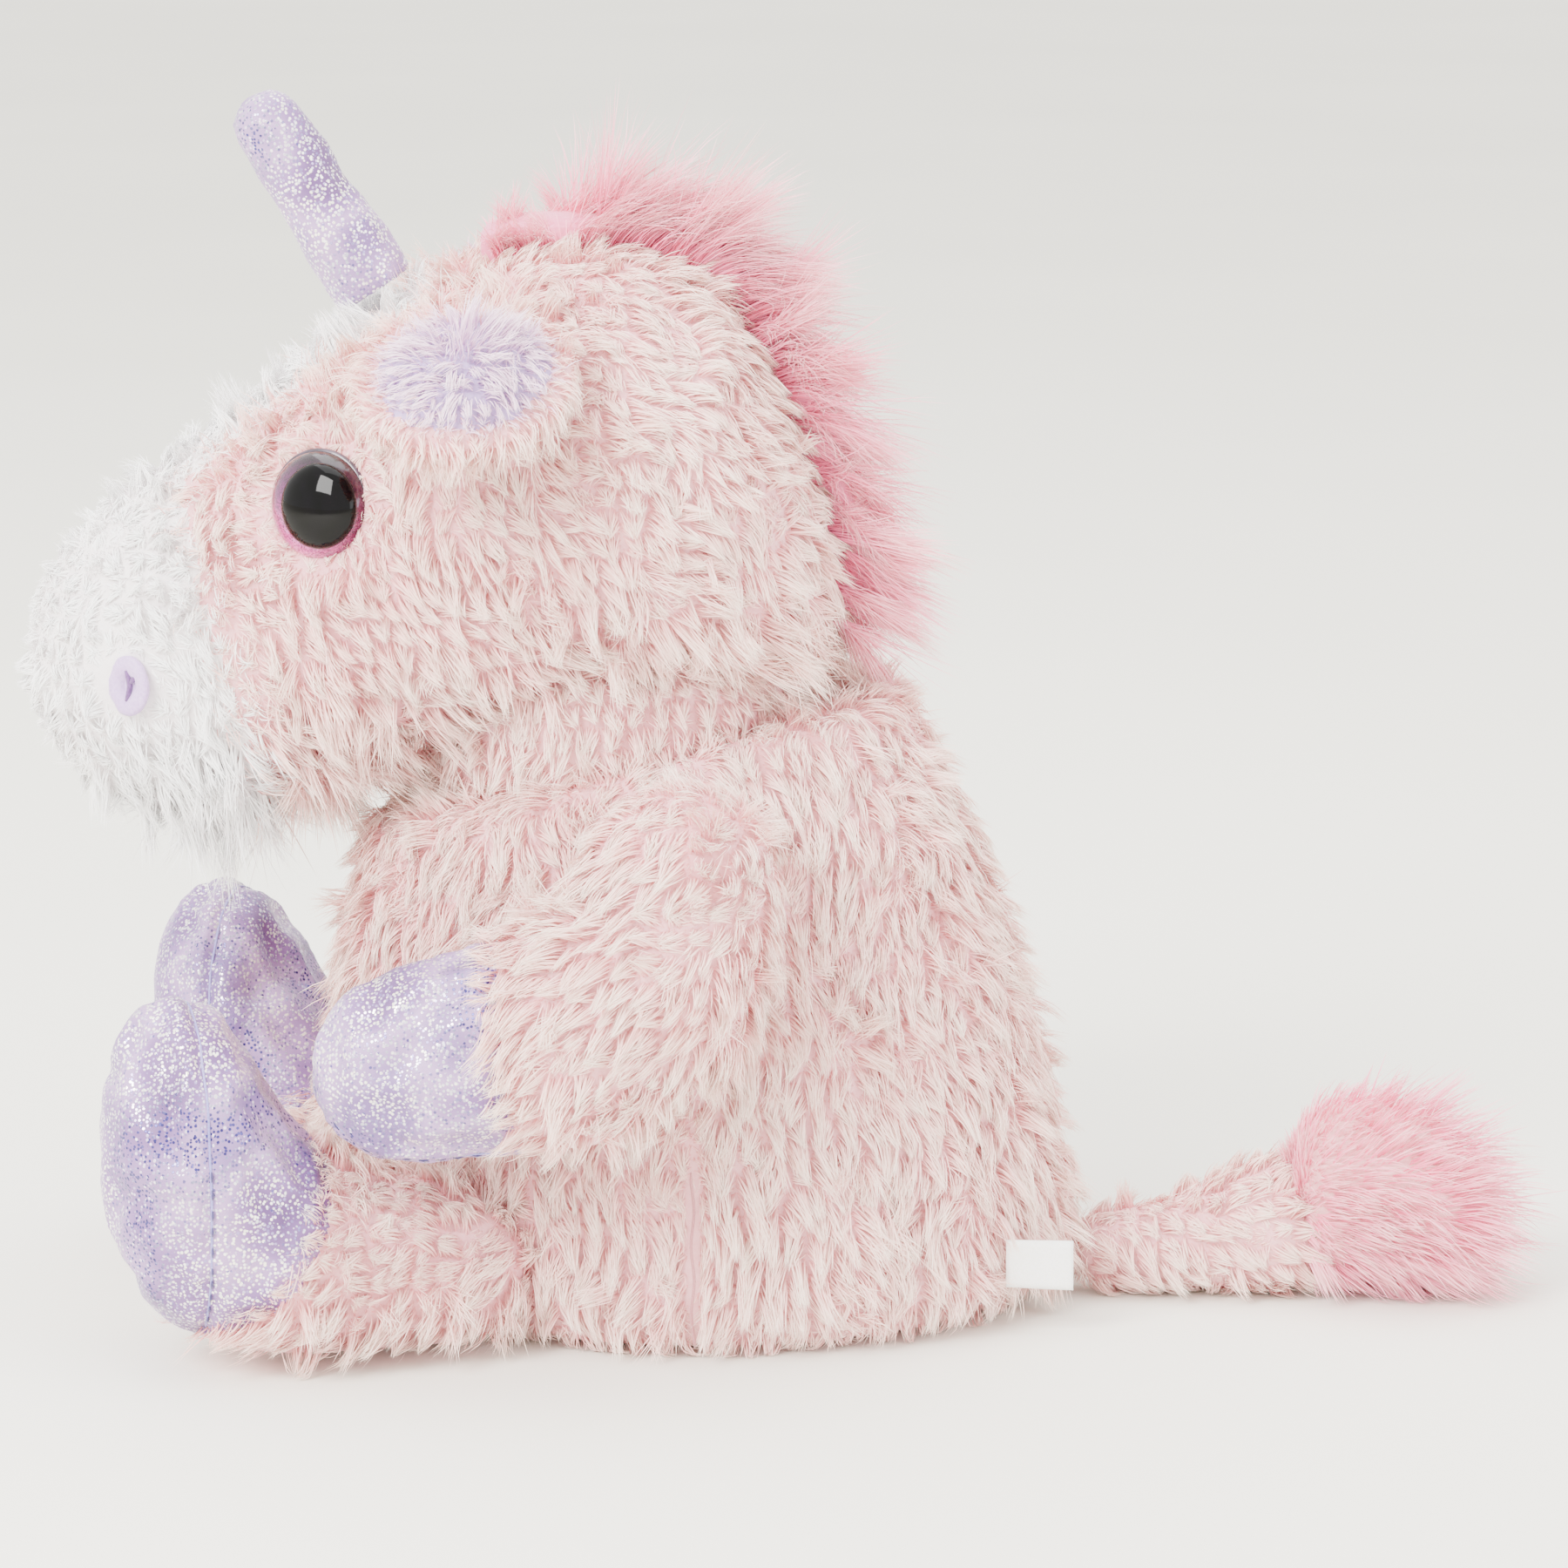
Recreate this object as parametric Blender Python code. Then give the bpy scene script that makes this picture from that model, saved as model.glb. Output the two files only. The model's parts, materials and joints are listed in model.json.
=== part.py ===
"""A seated plush unicorn, built as its sewn panels, stuffing, plastic eyes and weight bag.

The toy faces -Y, its left side is +X, and it sits on z = 0 with the origin at the middle of its
seat. Every soft panel is a shell of one thickness, which stands for the knitted backing and its
pile pressed flat. Each shell is one smooth form less the same form drawn in, cut at the seams.
"""

import math

import bmesh
import bpy
import numpy as np
from mathutils import Matrix, Vector
from mathutils.bvhtree import BVHTree

MM = 0.001
GAP = 0.3 * MM  # left between pieces that touch
SKIN = 5.0 * MM  # fabric backing and pressed pile
HOOF_SKIN = 1.6 * MM  # foil-dotted hoof and horn cloth with its lining
SECTION_POINTS = 16  # points round the head and the body
LIMB_POINTS = 12  # points round an arm, a leg or the tail
TURNED_POINTS = 16  # points round an eye or the horn
FAR = 400 * MM  # size of a cutter that only has to reach past everything

# Stations of the head along Y: (y, lowest z, highest z, half width), in mm.
HEAD_ROWS = (
    (-149, 141, 154, 6),
    (-145, 130, 167, 19),
    (-134, 119, 180, 29),
    (-118, 113, 192, 34.5),
    (-99, 113, 206, 39),
    (-80, 121, 220, 46.5),
    (-60, 127, 233, 54),
    (-38, 131, 241, 58.5),
    (-14, 133, 242, 58),
    (4, 136, 234, 52),
    (17, 141, 212, 42),
    (26, 150, 189, 26),
    (30, 162, 178, 8),
)
# Stations of the body up Z: (z, front y, back y, half width), in mm.
BODY_ROWS = (
    (0, -58, 64, 47),
    (3, -68, 75, 55),
    (13, -77, 84, 59.5),
    (30, -81, 84, 60),
    (50, -82, 79, 57),
    (70, -81, 74, 54.5),
    (90, -78, 69, 54),
    (108, -74, 62, 52.5),
    (122, -68, 55, 50),
    (134, -58, 50, 46),
    (146, -44, 44, 40),
    (160, -28, 37, 32),
)
# Stations of a leg along its own direction, from its hinge: (distance, low z, high z, half width).
LEG_ROWS = (
    (-18, 14, 25, 5.5),
    (-14, 7.5, 31.5, 12.5),
    (-7, 2.5, 36.5, 17),
    (2, 1, 38, 18.5),
    (16, 1, 41, 20.5),
    (30, 1, 49, 23.5),
    (41, 1.5, 64, 25.5),
    (51, 4, 80, 26),
    (60, 8, 85, 24.5),
    (68, 15, 82, 20),
    (74, 25, 74, 13),
    (77, 36, 63, 5),
)
LEG_HINGE = Vector((46, -54, 19.5)) * MM
LEG_SPLAY = math.radians(15)
LEG_ROOT_RADIUS = 19.8 * MM
LEG_SEAM_DISTANCE = 57 * MM  # where the sole panel meets the instep panel
HOOF_ARC_CENTRE = (75 * MM, 51 * MM)  # distance along the leg, and z, of the sewn edge's arc
HOOF_ARC_RADIUS = 44 * MM
# The side outline of the room that a lifted leg needs in the body: (distance from hinge, z), mm.
LEG_ROOM = ((-3, -6), (62, -6), (62, 104), (30, 66), (12, 50), (-3, 41))
LEG_ROOM_HALF_WIDTH = 24.5 * MM

# An arm's middle line and its radii, from the shoulder to the hoof's centre.
ARM_LINE = [Vector(p) * MM for p in ((74, -2, 111), (75, -8, 92), (75.5, -29, 77), (75.5, -60, 71))]
ARM_RADII = [r * MM for r in (21, 25, 25.5, 22)]
ARM_FLATNESS = 0.77  # its thickness from side to side, as a share of its height
ARM_HINGE = Vector((58, -2, 111)) * MM
ARM_HOOF_AT = Vector((75.5, -41, 72)) * MM  # a point of the seam between sleeve and hoof
ARM_HOOF_WAY = Vector((0, -0.99, -0.12)).normalized()
ARM_PANEL_WAY = Vector((math.cos(math.radians(15)), 0, math.sin(math.radians(15))))

NECK_CENTRE = Vector((0, -18, 136)) * MM
NECK_RADIUS = 43 * MM
NECK_BALL_POINTS = 40  # fine enough for its facets to turn inside the socket's
NECK_TILT = math.radians(14.9)  # the neck seam rises towards the nape
NECK_ROOM_BODY = math.radians(10)  # between the seam's plane and the body's edge
NECK_ROOM_HEAD = math.radians(3)  # between the seam's plane and the head's edge
NECK_REACH_BODY = 130 * MM  # how far from the neck's centre the body's edge is cut
NECK_REACH_HEAD = 72 * MM  # the chin beyond it hangs in front of the chest, uncut

# The tail's stations along Y: (y, low z, high z, half width), in mm.
TAIL_ROWS = (
    (86, 6.5, 13.5, 3.5),
    (88, 3.3, 16.7, 6.4),
    (94, 1.2, 18.8, 8.5),
    (107, 1, 21, 10),
    (121, 1, 27, 13),
    (132, 1, 31, 15),
    (140, 3.2, 29, 13),
    (145, 7.7, 25, 8.8),
    (147, 12, 21, 4.5),
)
TUFT_ROWS = (
    (138, 1, 43, 16.5),
    (146, 0.8, 50, 19.5),
    (160, 0.8, 51, 22),
    (174, 1, 46, 21),
    (183, 3, 37, 16),
    (188.5, 9, 27, 8),
)
TAIL_SKIN = 3 * MM
TAIL_HINGE = Vector((0, 94, 10)) * MM
TUFT_HINGE = Vector((0, 132, 16)) * MM
TUFT_RECESS_RADIUS = 16.2 * MM

HORN_FOOT = Vector((0, -70.5, 230)) * MM
HORN_WAY = Vector((0, -0.533, 0.846)).normalized()
HORN_LENGTH = 56 * MM
HORN_FOOT_RADIUS = 9.6 * MM
HORN_TIP_RADIUS = 8.0 * MM

EYE_AIM = Vector((0, -61, 183.5)) * MM  # the eye's axis starts here, inside the head
EYE_WAY = Vector((0.89, -0.44, 0.10)).normalized()
IRIS_RADIUS = 12.0 * MM
IRIS_EDGE = 1.6 * MM  # the straight rim below the iris dome
IRIS_RISE = 5.2 * MM
PUPIL_RADIUS = 8.8 * MM
PUPIL_RISE = 3.6 * MM
EYE_SINK = 3.0 * MM  # the eye's flat back lies this far under the pile
SHANK_RADIUS = 2.5 * MM
SHANK_LENGTH = 15 * MM
WASHER_RADIUS = 8.0 * MM
WASHER_THICKNESS = 1.5 * MM
WASHER_DEPTH = 8.2 * MM

NOSTRIL_AIM = Vector((0, -108, 146)) * MM
NOSTRIL_WAY = Vector((0.88, -0.47, 0.02)).normalized()
NOSTRIL_SIZE = (6.4 * MM, 8.0 * MM, 1.2 * MM)  # half width, half height, half thickness

EAR_ROOT = Vector((49, -26, 229)) * MM
EAR_WAY = Vector((0.60, -0.72, -0.33)).normalized()
EAR_UP = Vector((0.62, 0.05, 0.78)).normalized()  # the lining's side
EAR_SIZE = (26 * MM, 21 * MM, 7.5 * MM)  # half length, half width, half thickness
EAR_LINING_SHARE = 0.8

MANE_HALF_WIDTH = 8 * MM
MANE_HEIGHT = 16 * MM
MANE_FRONT_Y = -50 * MM

BLAZE_HALF_WIDTH = 17 * MM
BLAZE_LOWEST_Z = 171 * MM
BLAZE_BACK_Y = -58 * MM
MUZZLE_EDGE = Vector((0, -103, 156)) * MM  # a point of the seam between muzzle and cheeks
MUZZLE_WAY = Vector((0, -0.96, -0.28)).normalized()

BASE_PANEL_TOP = 6 * MM
WEIGHT_BAG_TOP = 38 * MM

LABEL_SIZE = (0.8 * MM, 15 * MM, 11 * MM)
LABEL_CENTRE = Vector((38, 77, 17)) * MM

COLOURS = {  # red, green, blue, roughness
    "pink_plush": (0.93, 0.74, 0.75, 0.95),
    "white_plush": (0.93, 0.93, 0.92, 0.95),
    "lilac_plush": (0.76, 0.68, 0.86, 0.95),
    "mane_pile": (0.92, 0.48, 0.62, 0.9),
    "foil_cloth": (0.62, 0.55, 0.78, 0.35),
    "polyester_stuffing": (0.92, 0.92, 0.90, 1.0),
    "bag_cotton": (0.86, 0.82, 0.74, 0.95),
    "nostril_thread": (0.66, 0.52, 0.78, 0.6),
    "iris_plastic": (0.62, 0.22, 0.42, 0.25),
    "pupil_plastic": (0.01, 0.01, 0.012, 0.05),
    "washer_plastic": (0.85, 0.85, 0.83, 0.5),
    "label_satin": (0.90, 0.90, 0.88, 0.6),
}


def clear_scene():
    for obj in list(bpy.data.objects):
        bpy.data.objects.remove(obj, do_unlink=True)


def material(slot):
    """The Principled material of a slot, made once."""
    found = bpy.data.materials.get(slot)
    if found:
        return found
    made = bpy.data.materials.new(slot)
    made.use_nodes = True
    red, green, blue, roughness = COLOURS[slot]
    shader = made.node_tree.nodes["Principled BSDF"]
    shader.inputs["Base Color"].default_value = (red, green, blue, 1)
    shader.inputs["Roughness"].default_value = roughness
    shader.inputs["Metallic"].default_value = 0.0
    return made


# --- Solids ------------------------------------------------------------------------------------


def solid_from(bm, name):
    """A helper object of a bmesh, hidden until it is finished as a piece."""
    bmesh.ops.recalc_face_normals(bm, faces=bm.faces)
    mesh = bpy.data.meshes.new(name)
    bm.to_mesh(mesh)
    bm.free()
    obj = bpy.data.objects.new(name, mesh)
    bpy.context.scene.collection.objects.link(obj)
    obj.hide_render = True
    obj.display_type = "WIRE"
    return obj


def through_rings(rings):
    """A closed solid through rings of points, with flat ends.

    Its faces are triangles, so that copies drawn in by different distances stay parallel.
    """
    bm = bmesh.new()
    loops = [[bm.verts.new(p) for p in ring] for ring in rings]
    count = len(rings[0])
    for low, high in zip(loops, loops[1:]):
        for i in range(count):
            j = (i + 1) % count
            bm.faces.new((low[i], low[j], high[j], high[i]))
    bm.faces.new(loops[0][::-1])
    bm.faces.new(loops[-1])
    bmesh.ops.triangulate(bm, faces=bm.faces)
    return solid_from(bm, "form")


def oval(centre, across, up, half_across, half_up, count):
    """Points round an ellipse."""
    angles = [2 * math.pi * i / count for i in range(count)]
    return [
        centre + across * (half_across * math.cos(a)) + up * (half_up * math.sin(a)) for a in angles
    ]


def lofted_along_y(rows, count):
    """Upright ovals at the stations of a table (y, low z, high z, half width)."""
    rings = []
    for y, low, high, half in rows:
        centre = Vector((0, y, (low + high) / 2)) * MM
        half_up = (high - low) / 2 * MM
        rings.append(oval(centre, Vector((1, 0, 0)), Vector((0, 0, 1)), half * MM, half_up, count))
    return through_rings(rings)


def lofted_up_z(rows, count):
    """Level ovals at the stations of a table (z, front y, back y, half width)."""
    rings = []
    for z, front, back, half in rows:
        centre = Vector((0, (front + back) / 2, z)) * MM
        half_deep = (back - front) / 2 * MM
        rings.append(oval(centre, Vector((1, 0, 0)), Vector((0, 1, 0)), half * MM, half_deep, count))
    return through_rings(rings)


def leg_direction():
    return Vector((math.sin(LEG_SPLAY), -math.cos(LEG_SPLAY), 0))


def leg_form():
    """The whole leg and foot: upright ovals across its splayed direction."""
    way = leg_direction()
    across = Vector((-way.y, way.x, 0))
    rings = []
    for distance, low, high, half in LEG_ROWS:
        centre = Vector((LEG_HINGE.x, LEG_HINGE.y, 0)) + way * distance * MM
        centre.z = (low + high) / 2 * MM
        half_up = (high - low) / 2 * MM
        rings.append(oval(centre, across, Vector((0, 0, 1)), half * MM, half_up, LIMB_POINTS))
    return through_rings(rings)


def round_ended_tube(line, radii, flatness, count):
    """A tube along a line of points, flattened from side to side, with rounded ends."""
    ways = []
    for i in range(len(line)):
        before, after = line[max(i - 1, 0)], line[min(i + 1, len(line) - 1)]
        ways.append((after - before).normalized())
    stations = []
    cap_angles = [math.radians(a) for a in (80, 58, 30)]
    for angle in cap_angles:
        shift = -ways[0] * radii[0] * math.sin(angle)
        stations.append((line[0] + shift, ways[0], radii[0] * math.cos(angle)))
    stations += list(zip(line, ways, radii))
    for angle in reversed(cap_angles):
        shift = ways[-1] * radii[-1] * math.sin(angle)
        stations.append((line[-1] + shift, ways[-1], radii[-1] * math.cos(angle)))
    rings = []
    for centre, way, radius in stations:
        across = way.cross(Vector((0, 0, 1))).normalized()
        rings.append(oval(centre, across, across.cross(way), radius * flatness, radius, count))
    return through_rings(rings)


def extruded(outline, half_width, place):
    """A flat outline in a frame's XY plane, made solid by half_width to each side."""
    rings = []
    for side in (-half_width, half_width):
        rings.append([place @ Vector((x, y, side)) for x, y in outline])
    return through_rings(rings)


def ball(centre, radius, size=(1, 1, 1), turn=None, points=16):
    """A ball, or an ellipsoid when size and turn are given."""
    bm = bmesh.new()
    bmesh.ops.create_uvsphere(bm, u_segments=points, v_segments=points // 2 + 1, radius=radius)
    place = Matrix.Translation(centre) @ (turn or Matrix.Identity(4)) @ Matrix.Diagonal((*size, 1))
    bmesh.ops.transform(bm, matrix=place, verts=bm.verts)
    return solid_from(bm, "ball")


def box(low, high):
    bm = bmesh.new()
    bmesh.ops.create_cube(bm, size=1)
    size = Vector(high) - Vector(low)
    place = Matrix.Translation((Vector(low) + Vector(high)) / 2) @ Matrix.Diagonal((*size, 1))
    bmesh.ops.transform(bm, matrix=place, verts=bm.verts)
    return solid_from(bm, "box")


def facing(way):
    """A turn that takes +Z to way."""
    return way.to_track_quat("Z", "Y").to_matrix().to_4x4()


def half_space(point, way):
    """A large block on the side of a plane that way points to."""
    block = box((-FAR, -FAR, 0), (FAR, FAR, 2 * FAR))
    block.data.transform(Matrix.Translation(point) @ facing(way))
    return block


def turned(profile, foot, way, points=TURNED_POINTS):
    """A solid turned about a line: profile holds (radius, height) from the bottom to the top."""
    place = Matrix.Translation(foot) @ facing(way)
    rings = []
    for radius, height in profile:
        centre = Vector((0, 0, height))
        flat = oval(centre, Vector((1, 0, 0)), Vector((0, 1, 0)), radius, radius, points)
        rings.append([place @ p for p in flat])
    return through_rings(rings)


def copy_of(obj):
    made = obj.copy()
    made.data = obj.data.copy()
    bpy.context.scene.collection.objects.link(made)
    return made


def drawn_in(obj, distance):
    """A copy whose surface lies that far inside the original's, or outside it if negative."""
    made = copy_of(obj)
    normals = [v.normal.copy() for v in made.data.vertices]
    for vertex, normal in zip(made.data.vertices, normals):
        vertex.co -= normal * distance
    made.data.update()
    return made


def boolean(obj, other, operation, keep_other=False):
    """Applies one exact Boolean to obj."""
    step = obj.modifiers.new(operation, "BOOLEAN")
    step.operation = operation
    step.object = other
    step.solver = "EXACT"
    graph = bpy.context.evaluated_depsgraph_get()
    result = bpy.data.meshes.new_from_object(obj.evaluated_get(graph))
    obj.modifiers.clear()
    obj.data = result
    if not keep_other:
        bpy.data.objects.remove(other, do_unlink=True)
    return obj


def cut(obj, other, keep_other=False):
    return boolean(obj, other, "DIFFERENCE", keep_other)


def keep_inside(obj, other, keep_other=False):
    return boolean(obj, other, "INTERSECT", keep_other)


def shell_of(form, thickness):
    return cut(copy_of(form), drawn_in(form, thickness))


def mirrored(obj):
    """The other side's copy."""
    made = copy_of(obj)
    made.data.transform(Matrix.Diagonal((-1, 1, 1, 1)))
    made.data.flip_normals()
    return made


# --- Pieces ------------------------------------------------------------------------------------


def finish(obj, name, slot, body):
    """Turns a helper solid into a named, shown piece that rides on a body's empty."""
    obj.name = name
    obj.data.name = name
    obj.hide_render = False
    obj.display_type = "TEXTURED"
    obj.data.materials.clear()
    obj.data.materials.append(material(slot))
    obj.data.shade_smooth()
    obj.data.set_sharp_from_angle(angle=math.radians(45))
    obj.parent = body
    obj.matrix_parent_inverse = body.matrix_world.inverted()
    return obj


def body_empty(name, place):
    empty = bpy.data.objects.new(name, None)
    empty.location = place
    bpy.context.scene.collection.objects.link(empty)
    bpy.context.view_layer.update()
    return empty


def leg_frame():
    """A frame at a leg's hinge: X along the leg, Y up from the floor, Z towards the inner side."""
    way = leg_direction()
    axes = Matrix((way, Vector((0, 0, 1)), way.cross(Vector((0, 0, 1))))).transposed()
    return Matrix.Translation((LEG_HINGE.x, LEG_HINGE.y, 0)) @ axes.to_4x4()


def leg_rooms(extra):
    """What a leg's root and its lift need in the body, grown by extra."""
    outline = [(x * MM - (extra if x < 0 else 0), y * MM + extra) for x, y in LEG_ROOM]
    room = extruded(outline, LEG_ROOM_HALF_WIDTH + extra, leg_frame())
    root = ball(LEG_HINGE, LEG_ROOT_RADIUS + extra)
    return [room, mirrored(room), root, mirrored(root)]


def neck_normal():
    return Vector((0, -math.sin(NECK_TILT), math.cos(NECK_TILT)))


def neck_cone(angle, reach, side):
    """The space past a cone round the neck's axis: above it for side 1, below it for side -1."""
    slope = math.tan(angle)
    apex = 8 * MM
    rows = [(apex, -side * apex * slope), (reach, -side * reach * slope), (reach, side * FAR)]
    return turned(rows[::side], NECK_CENTRE, neck_normal(), points=27)


def neck_ball(extra):
    return ball(NECK_CENTRE, NECK_RADIUS + extra, points=NECK_BALL_POINTS)


def make_body(body):
    form = lofted_up_z(BODY_ROWS, SECTION_POINTS)
    outer = copy_of(form)
    inner = drawn_in(form, SKIN)
    stuffing = drawn_in(form, SKIN + GAP)
    for solid, extra in ((outer, 0.0), (inner, SKIN), (stuffing, SKIN + GAP)):
        for cutter in leg_rooms(extra):
            cut(solid, cutter)
    cut(outer, neck_cone(NECK_ROOM_BODY, NECK_REACH_BODY, 1))
    cut(stuffing, neck_cone(NECK_ROOM_BODY, NECK_REACH_BODY, 1))
    cut(stuffing, neck_ball(2 * GAP))
    shell = cut(outer, inner)
    cut(shell, neck_ball(2 * GAP))

    base = keep_inside(copy_of(shell), half_space((0, 0, BASE_PANEL_TOP), Vector((0, 0, -1))))
    upper = keep_inside(shell, half_space((0, 0, BASE_PANEL_TOP + GAP), Vector((0, 0, 1))))
    front = keep_inside(copy_of(upper), half_space((0, -GAP / 2, 0), Vector((0, -1, 0))))
    back = keep_inside(upper, half_space((0, GAP / 2, 0), Vector((0, 1, 0))))
    bag = keep_inside(copy_of(stuffing), half_space((0, 0, WEIGHT_BAG_TOP), Vector((0, 0, -1))))
    wad = keep_inside(stuffing, half_space((0, 0, WEIGHT_BAG_TOP + GAP), Vector((0, 0, 1))))

    finish(base, "body_base_panel", "pink_plush", body)
    finish(front, "body_front_panel", "pink_plush", body)
    finish(back, "body_back_panel", "pink_plush", body)
    finish(bag, "weight_bag", "bag_cotton", body)
    finish(wad, "body_stuffing", "polyester_stuffing", body)
    low = LABEL_CENTRE - Vector(LABEL_SIZE) / 2
    finish(box(low, low + Vector(LABEL_SIZE)), "care_label", "label_satin", body)
    bpy.data.objects.remove(form)


def where_it_leaves(form, start, way):
    """The point where a line from inside a form comes out of it."""
    graph = bpy.context.evaluated_depsgraph_get()
    point = BVHTree.FromObject(form, graph).ray_cast(start, way)[0]
    return point


def eye_pieces(form):
    """The left eye's parts and the cutters that make room for them."""
    surface = where_it_leaves(form, EYE_AIM, EYE_WAY)
    back = surface - EYE_WAY * EYE_SINK
    dome = [
        (IRIS_RADIUS * math.cos(a), IRIS_EDGE + IRIS_RISE * math.sin(a))
        for a in (math.radians(d) for d in (0, 25, 48, 68, 84))
    ]
    shank = [(SHANK_RADIUS, -SHANK_LENGTH), (SHANK_RADIUS, 0)]
    iris = turned(shank + [(IRIS_RADIUS, 0)] + dome, back, EYE_WAY)
    rise_under_pupil = IRIS_EDGE + IRIS_RISE * math.sqrt(1 - (PUPIL_RADIUS / IRIS_RADIUS) ** 2)
    cut(iris, half_space(back + EYE_WAY * rise_under_pupil, EYE_WAY))
    pupil_foot = back + EYE_WAY * (rise_under_pupil + GAP)
    pupil_dome = [
        (PUPIL_RADIUS * math.cos(a), PUPIL_RISE * math.sin(a))
        for a in (math.radians(d) for d in (0, 30, 58, 82))
    ]
    pupil = turned(pupil_dome, pupil_foot, EYE_WAY)
    washer_foot = back - EYE_WAY * (WASHER_DEPTH - EYE_SINK)
    washer = turned([(WASHER_RADIUS, 0), (WASHER_RADIUS, WASHER_THICKNESS)], washer_foot, EYE_WAY)
    bore = [(SHANK_RADIUS + GAP, -2 * SHANK_LENGTH), (SHANK_RADIUS + GAP, SHANK_LENGTH)]
    cut(washer, turned(bore, washer_foot, EYE_WAY))
    seat_radius = IRIS_RADIUS + 2 * GAP
    seat = turned([(seat_radius, -GAP), (seat_radius, 60 * MM)], back, EYE_WAY)
    hole = turned([(SHANK_RADIUS + GAP, -30 * MM), (SHANK_RADIUS + GAP, 5 * MM)], back, EYE_WAY)
    pocket_radius = WASHER_RADIUS + 2 * GAP
    pocket_top = EYE_SINK - WASHER_DEPTH + WASHER_THICKNESS + GAP
    pocket_rows = [(pocket_radius, -SHANK_LENGTH - 1 * MM), (pocket_radius, pocket_top)]
    pocket = turned(pocket_rows, back, EYE_WAY)
    return iris, pupil, washer, (seat, hole, pocket)


def nostril_piece(form):
    surface = where_it_leaves(form, NOSTRIL_AIM, NOSTRIL_WAY)
    half_wide, half_high, half_thick = NOSTRIL_SIZE
    turn = Matrix((NOSTRIL_WAY.cross(Vector((0, 0, 1))), Vector((0, 0, 1)), NOSTRIL_WAY))
    centre = surface + NOSTRIL_WAY * 1.0 * MM
    size = (half_wide, half_high, half_thick)
    piece = ball(centre, 1.0, size, turn.transposed().to_4x4(), points=12)
    return cut(piece, drawn_in(form, -GAP))


def mane_piece(form):
    """The long-pile strip sewn into the seam from the crown to the nape."""
    strip = drawn_in(form, -MANE_HEIGHT)
    cut(strip, drawn_in(form, -2 * GAP))
    low = (-MANE_HALF_WIDTH, MANE_FRONT_Y, NECK_CENTRE.z)
    high = (MANE_HALF_WIDTH, FAR, FAR)
    keep_inside(strip, box(low, high))
    return cut(strip, neck_cone(NECK_ROOM_HEAD, NECK_REACH_HEAD, -1))


def make_head(head):
    form = lofted_along_y(HEAD_ROWS, SECTION_POINTS)
    shell = shell_of(form, SKIN)
    stuffing = drawn_in(form, SKIN + GAP)
    for solid in (shell, stuffing):
        cut(solid, neck_cone(NECK_ROOM_HEAD, NECK_REACH_HEAD, -1))
        cut(solid, neck_ball(2 * GAP))

    iris, pupil, washer, rooms = eye_pieces(form)
    for room in rooms:
        for cutter in (mirrored(room), room):
            cut(stuffing, cutter, keep_other=True)
            cut(shell, cutter)
    pieces = (
        (iris, "eye_iris", "iris_plastic"),
        (pupil, "eye_pupil", "pupil_plastic"),
        (washer, "eye_washer", "washer_plastic"),
        (nostril_piece(form), "nostril", "nostril_thread"),
    )
    for piece, name, slot in pieces:
        finish(mirrored(piece), name + "_right", slot, head)
        finish(piece, name + "_left", slot, head)

    blaze_low = (-BLAZE_HALF_WIDTH, -FAR, BLAZE_LOWEST_Z)
    blaze_high = (BLAZE_HALF_WIDTH, BLAZE_BACK_Y, FAR)
    white = boolean(half_space(MUZZLE_EDGE, MUZZLE_WAY), box(blaze_low, blaze_high), "UNION")
    muzzle = keep_inside(copy_of(shell), white, keep_other=True)
    cheeks = cut(shell, drawn_in(white, -GAP))
    bpy.data.objects.remove(white)
    right = keep_inside(copy_of(cheeks), half_space((-GAP / 2, 0, 0), Vector((-1, 0, 0))))
    left = keep_inside(cheeks, half_space((GAP / 2, 0, 0), Vector((1, 0, 0))))
    finish(muzzle, "muzzle_panel", "white_plush", head)
    finish(left, "head_panel_left", "pink_plush", head)
    finish(right, "head_panel_right", "pink_plush", head)
    finish(stuffing, "head_stuffing", "polyester_stuffing", head)
    finish(mane_piece(form), "mane_strip", "mane_pile", head)
    bpy.data.objects.remove(form)


def make_neck(neck):
    finish(neck_ball(0), "neck_wad", "polyester_stuffing", neck)


def make_horn(horn):
    dome = [
        (HORN_TIP_RADIUS * math.cos(a), HORN_LENGTH - HORN_TIP_RADIUS * (1 - math.sin(a)))
        for a in (math.radians(d) for d in (0, 30, 58, 82))
    ]
    rise = HORN_LENGTH - HORN_TIP_RADIUS
    side = [(HORN_FOOT_RADIUS, 0), (9.3 * MM, rise * 0.3), (8.5 * MM, rise * 0.65)]
    form = turned(side + dome, HORN_FOOT, HORN_WAY, points=16)
    cover = cut(copy_of(form), drawn_in(form, HOOF_SKIN))
    mouth_radius = HORN_FOOT_RADIUS - HOOF_SKIN
    mouth_rows = [(mouth_radius, -5 * MM), (mouth_radius, 4 * MM)]
    cut(cover, turned(mouth_rows, HORN_FOOT, HORN_WAY, points=16))
    stuffing = drawn_in(form, HOOF_SKIN + GAP)
    finish(cover, "horn_cover", "foil_cloth", horn)
    finish(stuffing, "horn_stuffing", "polyester_stuffing", horn)
    bpy.data.objects.remove(form)


def ear_turn():
    """The ear's frame: X along it, Y across it, Z out of the lining."""
    across = EAR_UP.cross(EAR_WAY).normalized()
    out = EAR_WAY.cross(across).normalized()
    return Matrix((EAR_WAY, across, out)).transposed().to_4x4()


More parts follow.
